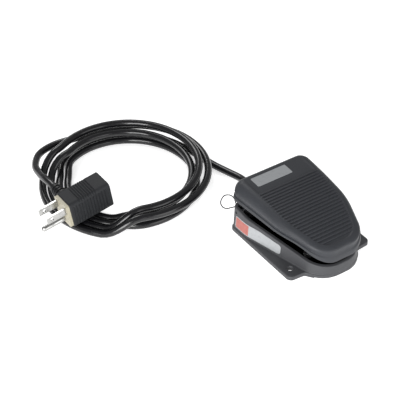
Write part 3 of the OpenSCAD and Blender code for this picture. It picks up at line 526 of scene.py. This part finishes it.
class Base:
    """Heights and outlines of the base, in millimetres."""

    def __init__(self, s):
        self.s = s
        self.foot_half = s["width"] / 2 - 0.7
        self.length = s["rear"] + s["nose"]

    def wall_top(self, y):
        """Straight line from the nose height to the rear height."""
        share = (y + self.s["nose"]) / self.length
        return self.s["nose_height"] + (self.s["rear_height"] - self.s["nose_height"]) * share

    def ring(self, side, rear, nose):
        """Outline of the wall's foot, drawn in at the sides, rear and nose."""
        nose_half = self.s["width"] / 2 * 0.54
        ends = [
            (self.foot_half, self.s["rear"], 5.0),
            (self.foot_half, 50.0, 40.0),
            (nose_half, -self.s["nose"], 22.0),
        ]
        return wedge(*ends, (side, side, side), rear, nose)

    def level(self, inset, z):
        """Ring drawn in at the sides, rear and nose, at one height."""
        ring = self.ring(*inset)
        return np.column_stack([ring, np.full(len(ring), z)])

    def rim(self, inset, below):
        """Ring drawn in and laid this far below the wall's sloping top."""
        ring = self.ring(*inset)
        return np.column_stack([ring, self.wall_top(ring[:, 1]) - below])

    def tray(self):
        """Stack of rings: up the leaning outside from a small foot fillet, over the rim, down inside."""
        s = self.s
        lean = np.array([s["lean"], s["lean"] * 0.35, s["lean"] / 2])
        edge, wall, floor = s["edge"], s["wall"], s["flange"]
        foot = lean * floor / (self.wall_top(0) - edge) * 0.9
        fillet = 0.9
        spread = np.array([fillet, 0.0, 0.0])
        rings = [self.level((0.5, 0.5, 0.5), 0.03), self.level((0.0, 0.0, 0.0), 0.5)]
        for a in QUARTER:
            up = floor - 0.2 + fillet * (1 - np.cos(a))
            rings.append(self.level(foot - spread * (1 - np.sin(a)), up))
        for a in QUARTER:
            rings.append(self.rim(lean + edge * (1 - np.cos(a)), edge * (1 - np.sin(a))))
        inner = lean + wall
        for a in QUARTER[::-1]:
            rings.append(self.rim(inner - edge / 2 * np.cos(a), edge / 2 * (1 - np.sin(a))))
        rings += [self.rim(inner, edge / 2), self.level((wall + 1.0, wall, wall), floor)]
        return closed_stack(rings)

    def plate(self):
        """Flange outline with two ears, carried up with small round edges."""
        s = self.s
        half, ear, rear = s["width"] / 2, s["ears"], s["rear"]
        right = [(22.0, -16.0), (26.2, -ear - 0.9), (half, -ear), (half, rear)]
        corners = right[3:] + [(-x, y) for x, y in right[::-1]] + right[:3]
        outline = rounded_outline(corners, (4.5, 4.5, 4.5, 2.6, 0.3, 0.3, 2.6, 4.5), 12, 4)
        along = unit(np.roll(outline, -1, 0) - np.roll(outline, 1, 0))
        outward = along[:, ::-1] * np.array([1, -1])
        steps = [(0.25, 0.0), (0.0, 0.25)]
        for a in QUARTER:
            steps.append((s["edge"] * (1 - np.cos(a)), s["flange"] - s["edge"] * (1 - np.sin(a))))
        rings = [np.column_stack([outline - outward * i, np.full(len(outline), z)]) for i, z in steps]
        return closed_stack(rings)


class Hood:
    """Heights and outlines of the treadle's hood, in millimetres."""

    lean, edge = 0.8, 0.7
    crest = np.array([8.5, 6.0, 4.0])
    high, high_nose = 9.0, 1.6
    skirt_steps = ((0.2, 0), (0.37, 0), (0.4, 0.2), (0.44, 0.65), (0.48, 0.8), (0.7, 0.6), (0.87, 0.25))

    def __init__(self, s, base):
        self.s = s
        self.reach = base.s["nose"]
        self.rear = base.s["rear"] + s["overhang"]
        self.length = self.rear + self.reach
        self.dip_length = base.length * 0.55
        self.waist_half = (s["nose_width"] + (s["width"] - s["nose_width"]) * 0.78) / 2

    def nose_share(self, y):
        """Share of the way from the hood's rear to its nose, held between 0 and 1."""
        return np.clip((self.rear - y) / self.length, 0, 1)

    def top(self, y):
        """Height of the tread: it falls with the 2.2nd power of the way to the nose."""
        return self.s["height"] - self.s["drop"] * self.nose_share(y) ** 2.2

    def lip(self, y):
        """Height of the skirt's lower edge: it dips with the 3.5th power of the last stretch."""
        near = np.clip(1 - (y + self.reach) / self.dip_length, 0, 1)
        return self.s["lip"] - self.s["dip"] * near**3.5

    def shoulder(self, y):
        """Height of the round shoulder, which thins towards the nose."""
        return self.high + (self.high_nose - self.high) * self.nose_share(y) ** 1.6

    def ring(self, side, rear, nose):
        """Outline of the lip, drawn in at the sides, rear and nose, and by their mean at the waist."""
        s = self.s
        ends = [
            (s["width"] / 2, self.rear, 10.0),
            (self.waist_half, 14.0, 70.0),
            (s["nose_width"] / 2, -self.reach, 20.0),
        ]
        return wedge(*ends, (side, (side + nose) / 2, nose), rear, nose)

    def lifted(self, inset, height, share=1.0):
        """Ring drawn in, shrunk to its middle by the share and laid at the height for its places."""
        middle = np.array([0, (self.rear - self.reach) / 2])
        ring = middle + (self.ring(*inset) - middle) * share
        return np.column_stack([ring, height(ring[:, 1])])

    def tread(self, y):
        """Height between the ribs: the top less the bead's depth times the way to the nose."""
        return self.top(y) - self.s["bead"] * self.nose_share(y)

    def shell(self):
        """Stack of rings: from the middle of the inside, round the lip, up the skirt to the tread."""
        lean, edge, t, bead = self.lean, self.edge, self.s["shell"], self.s["bead"]
        rings = [
            self.lifted(t + self.crest, lambda y: self.top(y) - t, share) for share in (0.06, 0.3, 0.55, 0.8)
        ]
        rings.append(self.lifted(t + self.crest, lambda y: self.top(y) - t - bead))
        rings.append(self.lifted((lean + t,) * 3, lambda y: self.top(y) - self.shoulder(y) - t))
        lip = [(t - edge * (1 - np.sin(a)), edge * (1 - np.cos(a))) for a in QUARTER[::-1]]
        lip += [(edge * (1 - np.sin(a)), edge * (1 - np.cos(a))) for a in QUARTER]
        for inset, up in lip:
            rings.append(self.lifted((inset,) * 3, lambda y: self.lip(y) + up))
        for share, step in self.skirt_steps:
            rings.append(self.lifted((lean * share + step,) * 3, lambda y: self.skirt(y, share)))
        for a in np.radians(np.linspace(0, 90, 15)):
            inset = lean + self.crest * (1 - np.cos(a))
            rings.append(self.lifted(inset, lambda y: self.top(y) - self.shoulder(y) * (1 - np.sin(a))))
        slope = bead * np.array([1, 1, 2])
        for share in (0.25, 0.5, 0.75, 1.0):
            drop = float(ease(share)) * bead
            inset = lean + self.crest + slope * share
            rings.append(self.lifted(inset, lambda y: self.top(y) - drop * self.nose_share(y)))
        inset = lean + self.crest + slope
        rings += [self.lifted(inset, self.tread, share) for share in (0.9, 0.72, 0.5, 0.3, 0.06)]
        return closed_stack(rings)

    def skirt(self, y, share):
        """Height on the skirt by the share of the way from its rounded lip to the shoulder."""
        return (self.lip(y) + self.edge) * (1 - share) + (self.top(y) - self.shoulder(y)) * share

    def half_at(self, y):
        """Half width of the lip's outline at places along Y."""
        ring = self.ring(0, 0, 0)
        right = ring[ring[:, 0] > 0]
        order = np.argsort(right[:, 1])
        return np.interp(y, right[order, 1], right[order, 0])

    def ribs(self):
        """Bars with the section |across|^4 + |up|^4 = 1, scaled, whose ends round off over a millimetre."""
        s = self.s
        y = 47.5 - np.arange(s["rib_count"]) * s["rib_pitch"]
        margin = 7.8 - 3.2 * self.nose_share(y)
        half = self.half_at(y - margin / 2) - margin
        slope = np.arctan2(self.top(y + 1) - self.top(y - 1), 2.0)[:, None, None]
        quarter = np.cos(np.linspace(0, np.pi / 2, 6))
        end = np.concatenate([-quarter, quarter[::-1]])
        side = np.repeat([-1.0, 1.0], len(quarter))
        full = np.sqrt(np.clip(1 - end**2, 0.0025, 1))[:, None]
        angle = np.linspace(0, 2 * np.pi, 20, endpoint=False)
        oval = (np.abs(np.cos(angle)) ** 4 + np.abs(np.sin(angle)) ** 4) ** -0.25
        across = full * oval * np.cos(angle) * s["rib_width"] / 2
        up = full * oval * np.sin(angle) * s["rib_height"]
        x = side * (half[:, None] - 1.0) + end
        along = y[:, None, None] + across * np.cos(slope) - up * np.sin(slope)
        height = self.tread(y)[:, None, None] + across * np.sin(slope) + up * np.cos(slope)
        points = np.stack([np.broadcast_to(x[:, :, None], along.shape), along, height], -1)
        return joined([closed_stack(rib[:, ::-1]) for rib in points])


def box_solid(low, high, edge):
    """Block with small chamfers, as a stack of eight-sided rings."""
    low, high = np.asarray(low, float), np.asarray(high, float)
    rings = []
    for z, inset in ((low[2], edge), (low[2] + edge, 0), (high[2] - edge, 0), (high[2], edge)):
        x0, x1, y0, y1 = low[0] + inset, high[0] - inset, low[1] + inset, high[1] - inset
        ring = [(x0 + edge, y0), (x1 - edge, y0), (x1, y0 + edge), (x1, y1 - edge)]
        ring += [(x1 - edge, y1), (x0 + edge, y1), (x0, y1 - edge), (x0, y0 + edge)]
        rings.append(np.column_stack([ring, np.full(len(ring), z)]))
    return closed_stack(rings)


def rod(radius, start, stop, axis, at, steps):
    """Cylinder with a hair of chamfer at both ends."""
    c = min(0.15, radius / 4)
    profile = [(radius - c, start), (radius, start + c), (radius, stop - c), (radius - c, stop)]
    return turned_profile(profile, steps, axis, at)


# Route of the lead, the same as in the part's source


class Route:
    """Centre line of the lead from its strain relief to its plug, in millimetres."""

    middle = np.array([-76.4, 163.6])
    first, last = 14.0, 1529.0
    first_round = -54.0
    flat_angle, flat_half, flat_end = 185.0, 35.0, 67.0
    flat_places = np.array([-0.5, -1.5, 0.5, 1.5, 1.5])
    exit = (0.0, 93.8, LEAD_Z)
    relief_back, relief_reach = 9.5, 21.5 / 2 + 19.3

    def __init__(self, s):
        self.s = s
        self.r = s["diameter"] / 2
        self.d = s["diameter"]

    def coil(self, angle):
        """Turns round a bundle, each a fifth of the way on from the last, and flat under the plug."""
        a = np.atleast_1d(np.asarray(angle, float))
        s = self.s
        turn = np.radians(self.first_round - (a - self.first) / 5)
        near = np.abs((a - self.flat_angle + 180) % 360 - 180)
        flat = (near - self.flat_half) / (self.flat_end - self.flat_half)
        place = self.flat_places[((a - self.flat_angle + 180) // 360).astype(int)] * s["flat_pitch"]
        bundled = ease((flat - 0.25) / 0.75)
        radius = s["coil_radius"] + place * (1 - bundled) + s["bundle_radius"] * np.cos(turn) * bundled
        z = self.r + ease(flat / 0.8) * s["bundle_rise"] * (1 + np.sin(turn))
        t = np.radians(a)
        x, y = self.middle[0] + radius * np.cos(t), self.middle[1] + radius * np.sin(t)
        return np.stack([x, y, z], -1)

    def heading(self, angle):
        """Direction of the coil's middle line at an angle."""
        before, after = self.coil([angle - 0.5, angle + 0.5])
        return unit(after - before)

    def whole(self):
        """Points from the strain relief through the free stretch, the coil and the tail to the plug."""
        d, onward = self.d, self.heading(self.last)
        back = d * self.heading(self.first)
        start = self.coil(self.first)[0] - back
        end = self.coil(self.last)[0] + d * onward
        lead = [self.exit, (0, 99.7, LEAD_Z), (1, 112, 5.8), (-1.5, 127, 4), (-5.5, 144, 3.4)]
        lead += [start - back, start]
        tail = [end, end + d * onward, (-106, 234, 10.5), (-123, 229, 11), (-134.5, 215, 12.5)]
        tail += [(-138.5, 200.5, 15), (-140, 188.5, 18)]
        along, up = self.relief_back * math.cos(PLUG_TILT), self.relief_back * math.sin(PLUG_TILT)
        relief = np.array([along, self.relief_reach, up])
        tail += [PLUG_AT + relief + np.array([0, d, 0]), PLUG_AT + relief]
        turns = self.coil(np.linspace(self.first, self.last, 405))
        return np.concatenate([through(lead, 8), turns, through(tail, 8)])


# Operators


class FOOTSWITCH_OT_camera(bpy.types.Operator):
    """Set the camera at the photograph's angle"""

    bl_idname = "footswitch.camera"
    bl_label = "Camera"

    azimuth: bpy.props.FloatProperty(
        name="Azimuth", description="Angle round the switch", default=math.radians(-34.5), subtype="ANGLE"
    )
    elevation: bpy.props.FloatProperty(
        name="Elevation", description="Angle above the floor", default=math.radians(38.5), subtype="ANGLE"
    )
    distance: length("Distance", "Distance from the camera to the middle of the view", 1147.5)
    look: bpy.props.FloatVectorProperty(
        name="Look at",
        description="Point on the floor at the middle of the view",
        default=(-0.03903, 0.1125, 0.0),
    )

    def execute(self, context):
        a, e = self.azimuth, self.elevation
        back = Vector((math.sin(a) * math.cos(e), -math.cos(a) * math.cos(e), math.sin(e)))
        lens = bpy.data.cameras.new("view")
        lens.lens = 126.0
        lens.sensor_width = 36.0
        lens.clip_end = 20.0
        camera = bpy.data.objects.new("view", lens)
        camera.location = Vector(self.look) + back * self.distance
        camera.rotation_euler = back.to_track_quat("Z", "Y").to_euler()
        context.scene.collection.objects.link(camera)
        context.scene.camera = camera
        return {"FINISHED"}


class FOOTSWITCH_OT_lead(bpy.types.Operator):
    """Lay the lead, coil it and carry it to the plug"""

    bl_idname = "footswitch.lead"
    bl_label = "Lead"

    def execute(self, context):
        scene = context.scene
        route = Route(sizes(scene.footswitch_lead))
        path = route.whole()
        points, faces = swept_tube(path, route.r, 20)
        finish = cord_jacket_finish("cord jacket", scene.footswitch_colours.cord)
        lead = mesh_piece("supply_lead", points, faces, finish, "base")
        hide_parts("cord_lead", "cord_coil", "cord_tail")
        tuple(v * MM for v in route.exit)
        route.d * MM
        return {"FINISHED"}


class FOOTSWITCH_OT_base(bpy.types.Operator):
    """Mould the base with its flange, ears, walls and holes"""

    bl_idname = "footswitch.base"
    bl_label = "Base"

    def execute(self, context):
        scene = context.scene
        base = Base(sizes(scene.footswitch_base))
        finish = moulded_plastic("base plastic", scene.footswitch_colours.base, 0.5, 0.3, 0.45)
        piece = mesh_piece("base_moulding", *base.plate(), finish, "base")
        clamp_boss = box_solid((-11.7, 55.5, 2.6), (11.7, 61.5, 8.05), 0.3)
        posts = [rod(2.7, 2.6, 7.6, "z", (side * SPRING_X, SPRING_Y, 0), 32) for side in (-1, 1)]
        cut(piece, [base.tray(), clamp_boss] + posts, "UNION")
        ear = [(2.3, -1.0), (2.3, 3.1), (2.9, 3.75), (2.9, 4.6)]
        holes = [turned_profile(ear, 48, "z", (side * EAR_X, 0, 0)) for side in (-1, 1)]
        holes += [rod(1.05, -45.0, 45.0, "x", (0, PIN_Y, PIN_Z), 32)]
        holes += [rod(5.0, 64.0, 71.0, "y", (0, 0, LEAD_Z), 48)]
        holes += [rod(3.2, 52.0, 64.5, "y", (0, 0, LEAD_Z), 48)]
        holes += [rod(0.6, 64.0, 71.0, "y", (WIRE_X, 0, z), 16) for z in (WIRE_LOW, WIRE_HIGH)]
        cut(piece, holes)
        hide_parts("base_housing")
        return {"FINISHED"}


class FOOTSWITCH_OT_treadle(bpy.types.Operator):
    """Mould the treadle's hood and its tread ribs"""

    bl_idname = "footswitch.treadle"
    bl_label = "Treadle"

    def execute(self, context):
        scene = context.scene
        base = Base(sizes(scene.footswitch_base))
        hood = Hood(sizes(scene.footswitch_treadle), base)
        finish = moulded_plastic("treadle plastic", scene.footswitch_colours.treadle, 0.48, 0.3, 0.42)
        under = hood.s["height"] - hood.s["shell"] - 1.0
        lug = np.array([2.0, 2.4, 0.0])
        spring_seat = [(4.8, 18.75), (5.4, 19.3), (5.4, 34.0)]
        press_boss = [(4.9, 33.0), (5.3, 33.5), (5.3, 39.0)]
        fittings = [turned_profile(press_boss, 40, "z", (0, PRESS_Y, 0))]
        for side in (-1, 1):
            foot, head = np.array([side * 29, PIN_Y, 17.0]), np.array([side * 29, PIN_Y, under])
            fittings.append(box_solid(foot - lug, head + lug, 0.8))
            fittings.append(turned_profile(spring_seat, 40, "z", (side * SPRING_X, SPRING_Y, 0)))
        piece = mesh_piece("treadle_hood", *joined([hood.shell()] + fittings), finish, "treadle")
        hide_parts("treadle")
        ribs = mesh_piece("tread_ribs", *hood.ribs(), finish, "treadle")
        return {"FINISHED"}


class FOOTSWITCH_OT_labels(bpy.types.Operator):
    """Lay the bare label plates on the treadle and on the side wall"""

    bl_idname = "footswitch.labels"
    bl_label = "Labels"

    def execute(self, context):
        scene = context.scene
        base = Base(sizes(scene.footswitch_base))
        hood = Hood(sizes(scene.footswitch_treadle), base)
        colours = scene.footswitch_colours
        left, right, front, rear = -22.7, 10.9, 55.6, 66.6
        corners = [(left, front), (right, front), (right, rear), (left, rear)]
        outline = rounded_outline(corners, (1.0,) * 4, 5, 8)
        rings = []
        for inset, up in ((0, -0.2), (0, 0.12), (0.08, 0.2), (4.5, 0.2)):
            ring = np.clip(outline, (left + inset, front + inset), (right - inset, rear - inset))
            rings.append(np.column_stack([ring, hood.tread(ring[:, 1]) + up]))
        finish = foil_label("top label", colours.label_top)
        plate = mesh_piece("top_plate", *closed_stack(rings), finish, "treadle")

        wall = base.ring(0, 0, 0)
        wall = wall[wall[:, 0] < 0]
        wall = wall[np.argsort(wall[:, 1])]

        def on_wall(y, z, out):
            """Point of the left wall at a place along Y and a height, moved out from it."""
            lean = base.s["lean"] * z / (base.wall_top(y) - base.s["edge"])
            x = np.interp(y, wall[:, 1], wall[:, 0]) + lean - out
            return np.stack([x, np.broadcast_to(y, z.shape), z], -1)

        def plate_on_wall(front, rear, low, high, front_corner, rear_corner, proud):
            """Sections across the label at places along Y, shortened near each end by its corners."""
            steps = 1 - np.cos(np.linspace(0.15, np.pi / 2, 7))
            middle = np.linspace(front + front_corner, rear - rear_corner, 26)[1:-1]
            y = np.concatenate([front + front_corner * steps, middle, rear - rear_corner * steps[::-1]])
            ahead = y < (front + rear) / 2
            corner = np.where(ahead, front_corner, rear_corner)
            short = round_edge(np.where(ahead, y - front, rear - y), corner)
            share = np.concatenate([[0], np.linspace(0, 1, 9), [1]])
            out = np.array([-0.3, proud - 0.08] + [proud] * 7 + [proud - 0.08, -0.3])
            tall = (high - low) * (base.wall_top(y) - 6.8) / (base.wall_top(rear) - 6.8)
            tall = np.minimum(high - low, tall * 1.3)
            z = (low + short)[:, None] + (tall - 2 * short)[:, None] * share
            return np.stack([on_wall(row_y, row_z, out) for row_y, row_z in zip(y, z)])

        side = foil_label("side label", colours.label_side)
        red = foil_label("red label", colours.label_red, 0.42)
        for name, finish, slot, places in (
            ("side_label", side, "cream_insulator", (15.5, 63.2, 5.4, 16.2, 2.4, 0.6, 0.2)),
            ("side_label_red", red, "button_plastic", (47.4, 62.5, 6.1, 15.5, 0.4, 0.4, 0.3)),
        ):
            label = mesh_piece(name, *closed_stack(plate_on_wall(*places)), finish, "base")
        return {"FINISHED"}


class FOOTSWITCH_OT_springs(bpy.types.Operator):
    """Wind the two return springs and bend the wire loop"""

    bl_idname = "footswitch.springs"
    bl_label = "Springs and wire loop"

    def execute(self, context):
        steel = bright_metal("spring steel", (0.42, 0.43, 0.44), 0.3, (8.0, 8.0, 2.0))
        turn = np.linspace(0, 12 * np.pi, 288)
        rise = np.interp(turn, [0, 2 * np.pi, 10 * np.pi, 12 * np.pi], [0.5, 1.7, 13.0, 14.2])
        for name, side in (("spring_left", -1), ("spring_right", 1)):
            x, y = side * SPRING_X + 3.7 * np.cos(turn), SPRING_Y + 3.7 * np.sin(turn)
            helix = np.stack([x, y, 3.75 + rise], -1)
            spring = mesh_piece(name + "_wire", *swept_tube(helix, 0.5, 10), steel, "base")
            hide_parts(name)
            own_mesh(spring)
        dark = bright_metal("blackened wire", (0.03, 0.03, 0.032), 0.5)
        sideways = np.array([-0.25, -0.25, 0.2, 0.8, 1, 0.8, 0.4]) * 10.0
        outward = np.array([0.5, 0.85, 1, 0.75, 0.4, 0.21, 0.175]) * 14.8
        height = WIRE_LOW + (WIRE_HIGH - WIRE_LOW) * np.array([1, 1, 1, 0.7, 0.5, 0.2, 0])
        bends = np.stack([WIRE_X - sideways, REAR_Y + outward, height], -1).tolist()
        ends = [(WIRE_X, REAR_Y - 2.6), (WIRE_X, REAR_Y + 1.3)]
        bow = [(*end, WIRE_HIGH) for end in ends] + bends + [(*end, WIRE_LOW) for end in ends[::-1]]
        wire = mesh_piece("wire_bow", *swept_tube(through(bow, 10), 0.45, 10), dark, "base")
        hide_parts("pin_wire")
        return {"FINISHED"}


class FOOTSWITCH_OT_plug(bpy.types.Operator):
    """Mould the plug's body with its grip grooves and sockets"""

    bl_idname = "footswitch.plug"
    bl_label = "Plug"

    def execute(self, context):
        scene = context.scene
        s = sizes(scene.footswitch_plug)
        finish = moulded_plastic("plug plastic", scene.footswitch_colours.plug, 0.5, 0.25, 0.16)
        half_w, half_h = s["width"] / 2, s["height"] / 2
        corners = [(-half_w, half_h), (-half_w, -half_h), (half_w, -half_h), (half_w, half_h)]
        outline = rounded_outline(corners, (s["corner"],) * 4, 8, 14)
        long = 37.3
        end = np.array([0.0, 0.1, 0.3, 0.6])
        back = np.concatenate([end, np.linspace(1.0, long - 1.0, 212), long - end[::-1]])
        edge = round_edge(np.minimum(back, long - back), 0.7)
        step = back + 2.65

        def grooves(first, pitch, count, wide):
            """Depth of a row of round-bottomed grooves across the body."""
            place = (step - first) / pitch
            near = np.abs(place - np.clip(np.round(place), 0, count - 1)) * pitch / (wide / 2)
            return s["groove"] * np.sqrt(np.clip(1 - near**2, 0, 1))

        top = grooves(s["body"] * 0.3 + 0.55, 2.1, 8, 1.2)
        side = grooves(s["body"] * 0.14 + 0.55, 2.6, 12, 1.3)
        ring = outline[None] * (1 - edge[:, None, None] / np.array([half_w, half_h]))
        x, z = np.abs(outline[:, 0]), outline[:, 1]
        on_top = ease((z - half_h + 2.4) / 1.2) * ease(half_w + 0.2 - x)
        on_side = ease((x - half_w + 1.0) / 0.7) * ease(half_h - 2.6 - np.abs(z))
        across = ring[..., 0] * (1 - side[:, None] * on_side[None] / half_w)
        up = ring[..., 1] - top[:, None] * on_top[None]
        body = np.stack([np.broadcast_to(-step[:, None], across.shape), across, up], -1)

        def placed(points, faces):
            """Turned to face -X, tilted nose down by PLUG_TILT and moved to the plug's place."""
            cos, sin = math.cos(PLUG_TILT), math.sin(PLUG_TILT)
            x, y, z = -points[..., 0], -points[..., 1], points[..., 2]
            turned = np.stack([x * cos - z * sin, y, x * sin + z * cos], -1)
            return turned + PLUG_AT, faces

        piece = mesh_piece("plug_shell", *placed(*closed_stack(body)), finish, "base")
        socket = (-s["body"] - 1, -s["body"] + 15)
        blade = (-8.7, 1.0)
        cutters = []
        blade_y, blade_z, ground_z = 6.35, 5.2, -6.7
        for (start, stop), half_y, half_z, inset in ((socket, 1.25, 3.6, 0.2), (blade, 0.83, 3.26, 0.05)):
            for y in (-blade_y, blade_y):
                low, high = (start, y - half_y, blade_z - half_z), (stop, y + half_y, blade_z + half_z)
                cutters.append(placed(*box_solid(low, high, inset)))
        for (start, stop), radius in ((socket, 2.87), (blade, 2.46)):
            cutters.append(placed(*rod(radius, start, stop, "x", (0, 0, ground_z), 40)))
        cut(piece, cutters)
        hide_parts("plug_body")
        return {"FINISHED"}


class FOOTSWITCH_OT_fittings(bpy.types.Operator):
    """Give the screws, switch, contacts and other carried-over pieces their finishes"""

    bl_idname = "footswitch.fittings"
    bl_label = "Fittings"

    def execute(self, context):
        colours = context.scene.footswitch_colours
        steel = bright_metal("plated steel", (0.62, 0.63, 0.64), 0.26)
        nickel = bright_metal("nickel blades", (0.46, 0.46, 0.45), 0.2, (2.0, 12.0, 12.0))
        brass = bright_metal("brass", (0.72, 0.55, 0.28), 0.28)
        relief = moulded_plastic("strain relief", colours.cord, 0.42, 0.2, 0.45)
        finishes = {
            steel: "hinge_pin pin_clips switch_bracket bracket_screws switch_screws switch_nuts press_screw "
            "press_nut cord_clamp clamp_screws",
            nickel: "live_blade neutral_blade ground_pin",
            brass: "switch_terminals socket_contacts",
            relief: "strain_relief plug_relief",
            cord_jacket_finish("inner jacket", colours.cord, 0.38): "cord_jacket wire_live",
            smooth_plastic("white wire", (0.75, 0.74, 0.7)): "wire_switched",
            smooth_plastic("switch resin", (0.07, 0.035, 0.022)): "switch_case",
            smooth_plastic("red button", (0.5, 0.05, 0.035)): "switch_button",
            smooth_plastic("cream insulator", colours.insulator, 0.4): "plug_face",
        }
        for finish, names in finishes.items():
            for name in names.split():
                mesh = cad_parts[name].data
                mesh.materials.clear()
                mesh.materials.append(finish)
        return {"FINISHED"}


class FOOTSWITCH_OT_stage(bpy.types.Operator):
    """Lay the pale floor and set the soft studio light"""

    bl_idname = "footswitch.stage"
    bl_label = "Stage"

    key: strength("Key", "Power of the key light in watts", 16.0)
    fill: strength("Fill", "Power of the fill light in watts", 5.0)
    back: strength("Back", "Power of the back light in watts", 4.0)
    room: strength("Room", "Strength of the studio's even light", 0.5)
    glow: strength("Glow", "Strength of the floor's own light", 0.55)
    mirrored: strength("Mirrored", "Strength of the room in reflections", 0.35)

    def execute(self, context):
        light = {"Emission_Color": (1, 1, 1, 1), "Emission_Strength": self.glow}
        floor_finish = Finish("floor", Roughness=0.9, Specular_IOR_Level=0.1, **light)
        grain = floor_finish.noise(3.0, 2.0)
        tone = floor_finish.blend(grain, rgba((0.93, 0.93, 0.93)), rgba((0.95, 0.95, 0.95)))
        material = floor_finish.feed(Base_Color=tone)
        far = 9000.0
        corners = np.array([(x * far, y * far, -0.05) for x, y in ((-1, -1), (1, -1), (1, 1), (-1, 1))])
        floor = mesh_piece("floor", corners, [np.array([[0, 1, 2, 3]])], material, None)

        world = bpy.data.worlds.new("studio")
        context.scene.world = world
        world.use_nodes = True
        graph = world.node_tree
        graph.nodes.clear()
        rays = graph.nodes.new("ShaderNodeLightPath")
        end = graph.nodes.new("ShaderNodeOutputWorld")

        def shade(strength):
            """Plain white background of this strength."""
            node = graph.nodes.new("ShaderNodeBackground")
            node.inputs["Color"].default_value = (1.0, 1.0, 1.0, 1)
            node.inputs["Strength"].default_value = strength
            return node.outputs[0]

        def switch(ray, usual, special):
            """The special shader for this kind of ray and the usual one for the rest."""
            node = graph.nodes.new("ShaderNodeMixShader")
            graph.links.new(rays.outputs[ray], node.inputs[0])
            graph.links.new(usual, node.inputs[1])
            graph.links.new(special, node.inputs[2])
            return node.outputs[0]

        lit = switch("Is Glossy Ray", shade(self.room), shade(self.mirrored))
        graph.links.new(switch("Is Camera Ray", lit, shade(1.0)), end.inputs[0])

        target = Vector((-0.03, 0.09, 0.0))
        for name, power, size, place in (
            ("key", self.key, 0.7, (-0.95, -0.55, 0.42)),
            ("fill", self.fill, 0.8, (0.3, -1.0, 0.25)),
            ("back", self.back, 0.5, (0.1, 1.0, 0.9)),
        ):
            lamp = bpy.data.lights.new(name, "AREA")
            lamp.energy = power
            lamp.size = size
            light = bpy.data.objects.new(name, lamp)
            light.location = place
            light.rotation_euler = (Vector(place) - target).to_track_quat("Z", "Y").to_euler()
            context.scene.collection.objects.link(light)
        context.scene.view_settings.view_transform = "Standard"
        return {"FINISHED"}


class FOOTSWITCH_PT_panel(bpy.types.Panel):
    """Foot switch builder in the 3D view's sidebar"""

    bl_label = "Foot switch"
    bl_idname = "FOOTSWITCH_PT_panel"
    bl_space_type = "VIEW_3D"
    bl_region_type = "UI"
    bl_category = "Foot switch"

    def draw(self, context):
        layout = self.layout
        for operator in OPERATORS:
            layout.operator(operator.bl_idname)
        for name in GROUPS:
            box = layout.box()
            box.label(text=name.split("_")[1].capitalize())
            group = getattr(context.scene, name)
            for key in own_keys(group):
                box.prop(group, key)


OPERATORS = (
    FOOTSWITCH_OT_camera,
    FOOTSWITCH_OT_plug,
    FOOTSWITCH_OT_lead,
    FOOTSWITCH_OT_base,
    FOOTSWITCH_OT_treadle,
    FOOTSWITCH_OT_springs,
    FOOTSWITCH_OT_labels,
    FOOTSWITCH_OT_fittings,
    FOOTSWITCH_OT_stage,
)
CLASSES = (*GROUPS.values(), *OPERATORS, FOOTSWITCH_PT_panel)


def register():
    for cls in CLASSES:
        bpy.utils.register_class(cls)
    for name, group in GROUPS.items():
        setattr(bpy.types.Scene, name, bpy.props.PointerProperty(type=group))


def unregister():
    for name in GROUPS:
        delattr(bpy.types.Scene, name)
    for cls in reversed(CLASSES):
        bpy.utils.unregister_class(cls)


def main():
    """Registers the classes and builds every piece."""
    register()
    for operator in OPERATORS:
        area, name = operator.bl_idname.split(".")
        getattr(getattr(bpy.ops, area), name)()


if __name__ == "__main__":
    main()
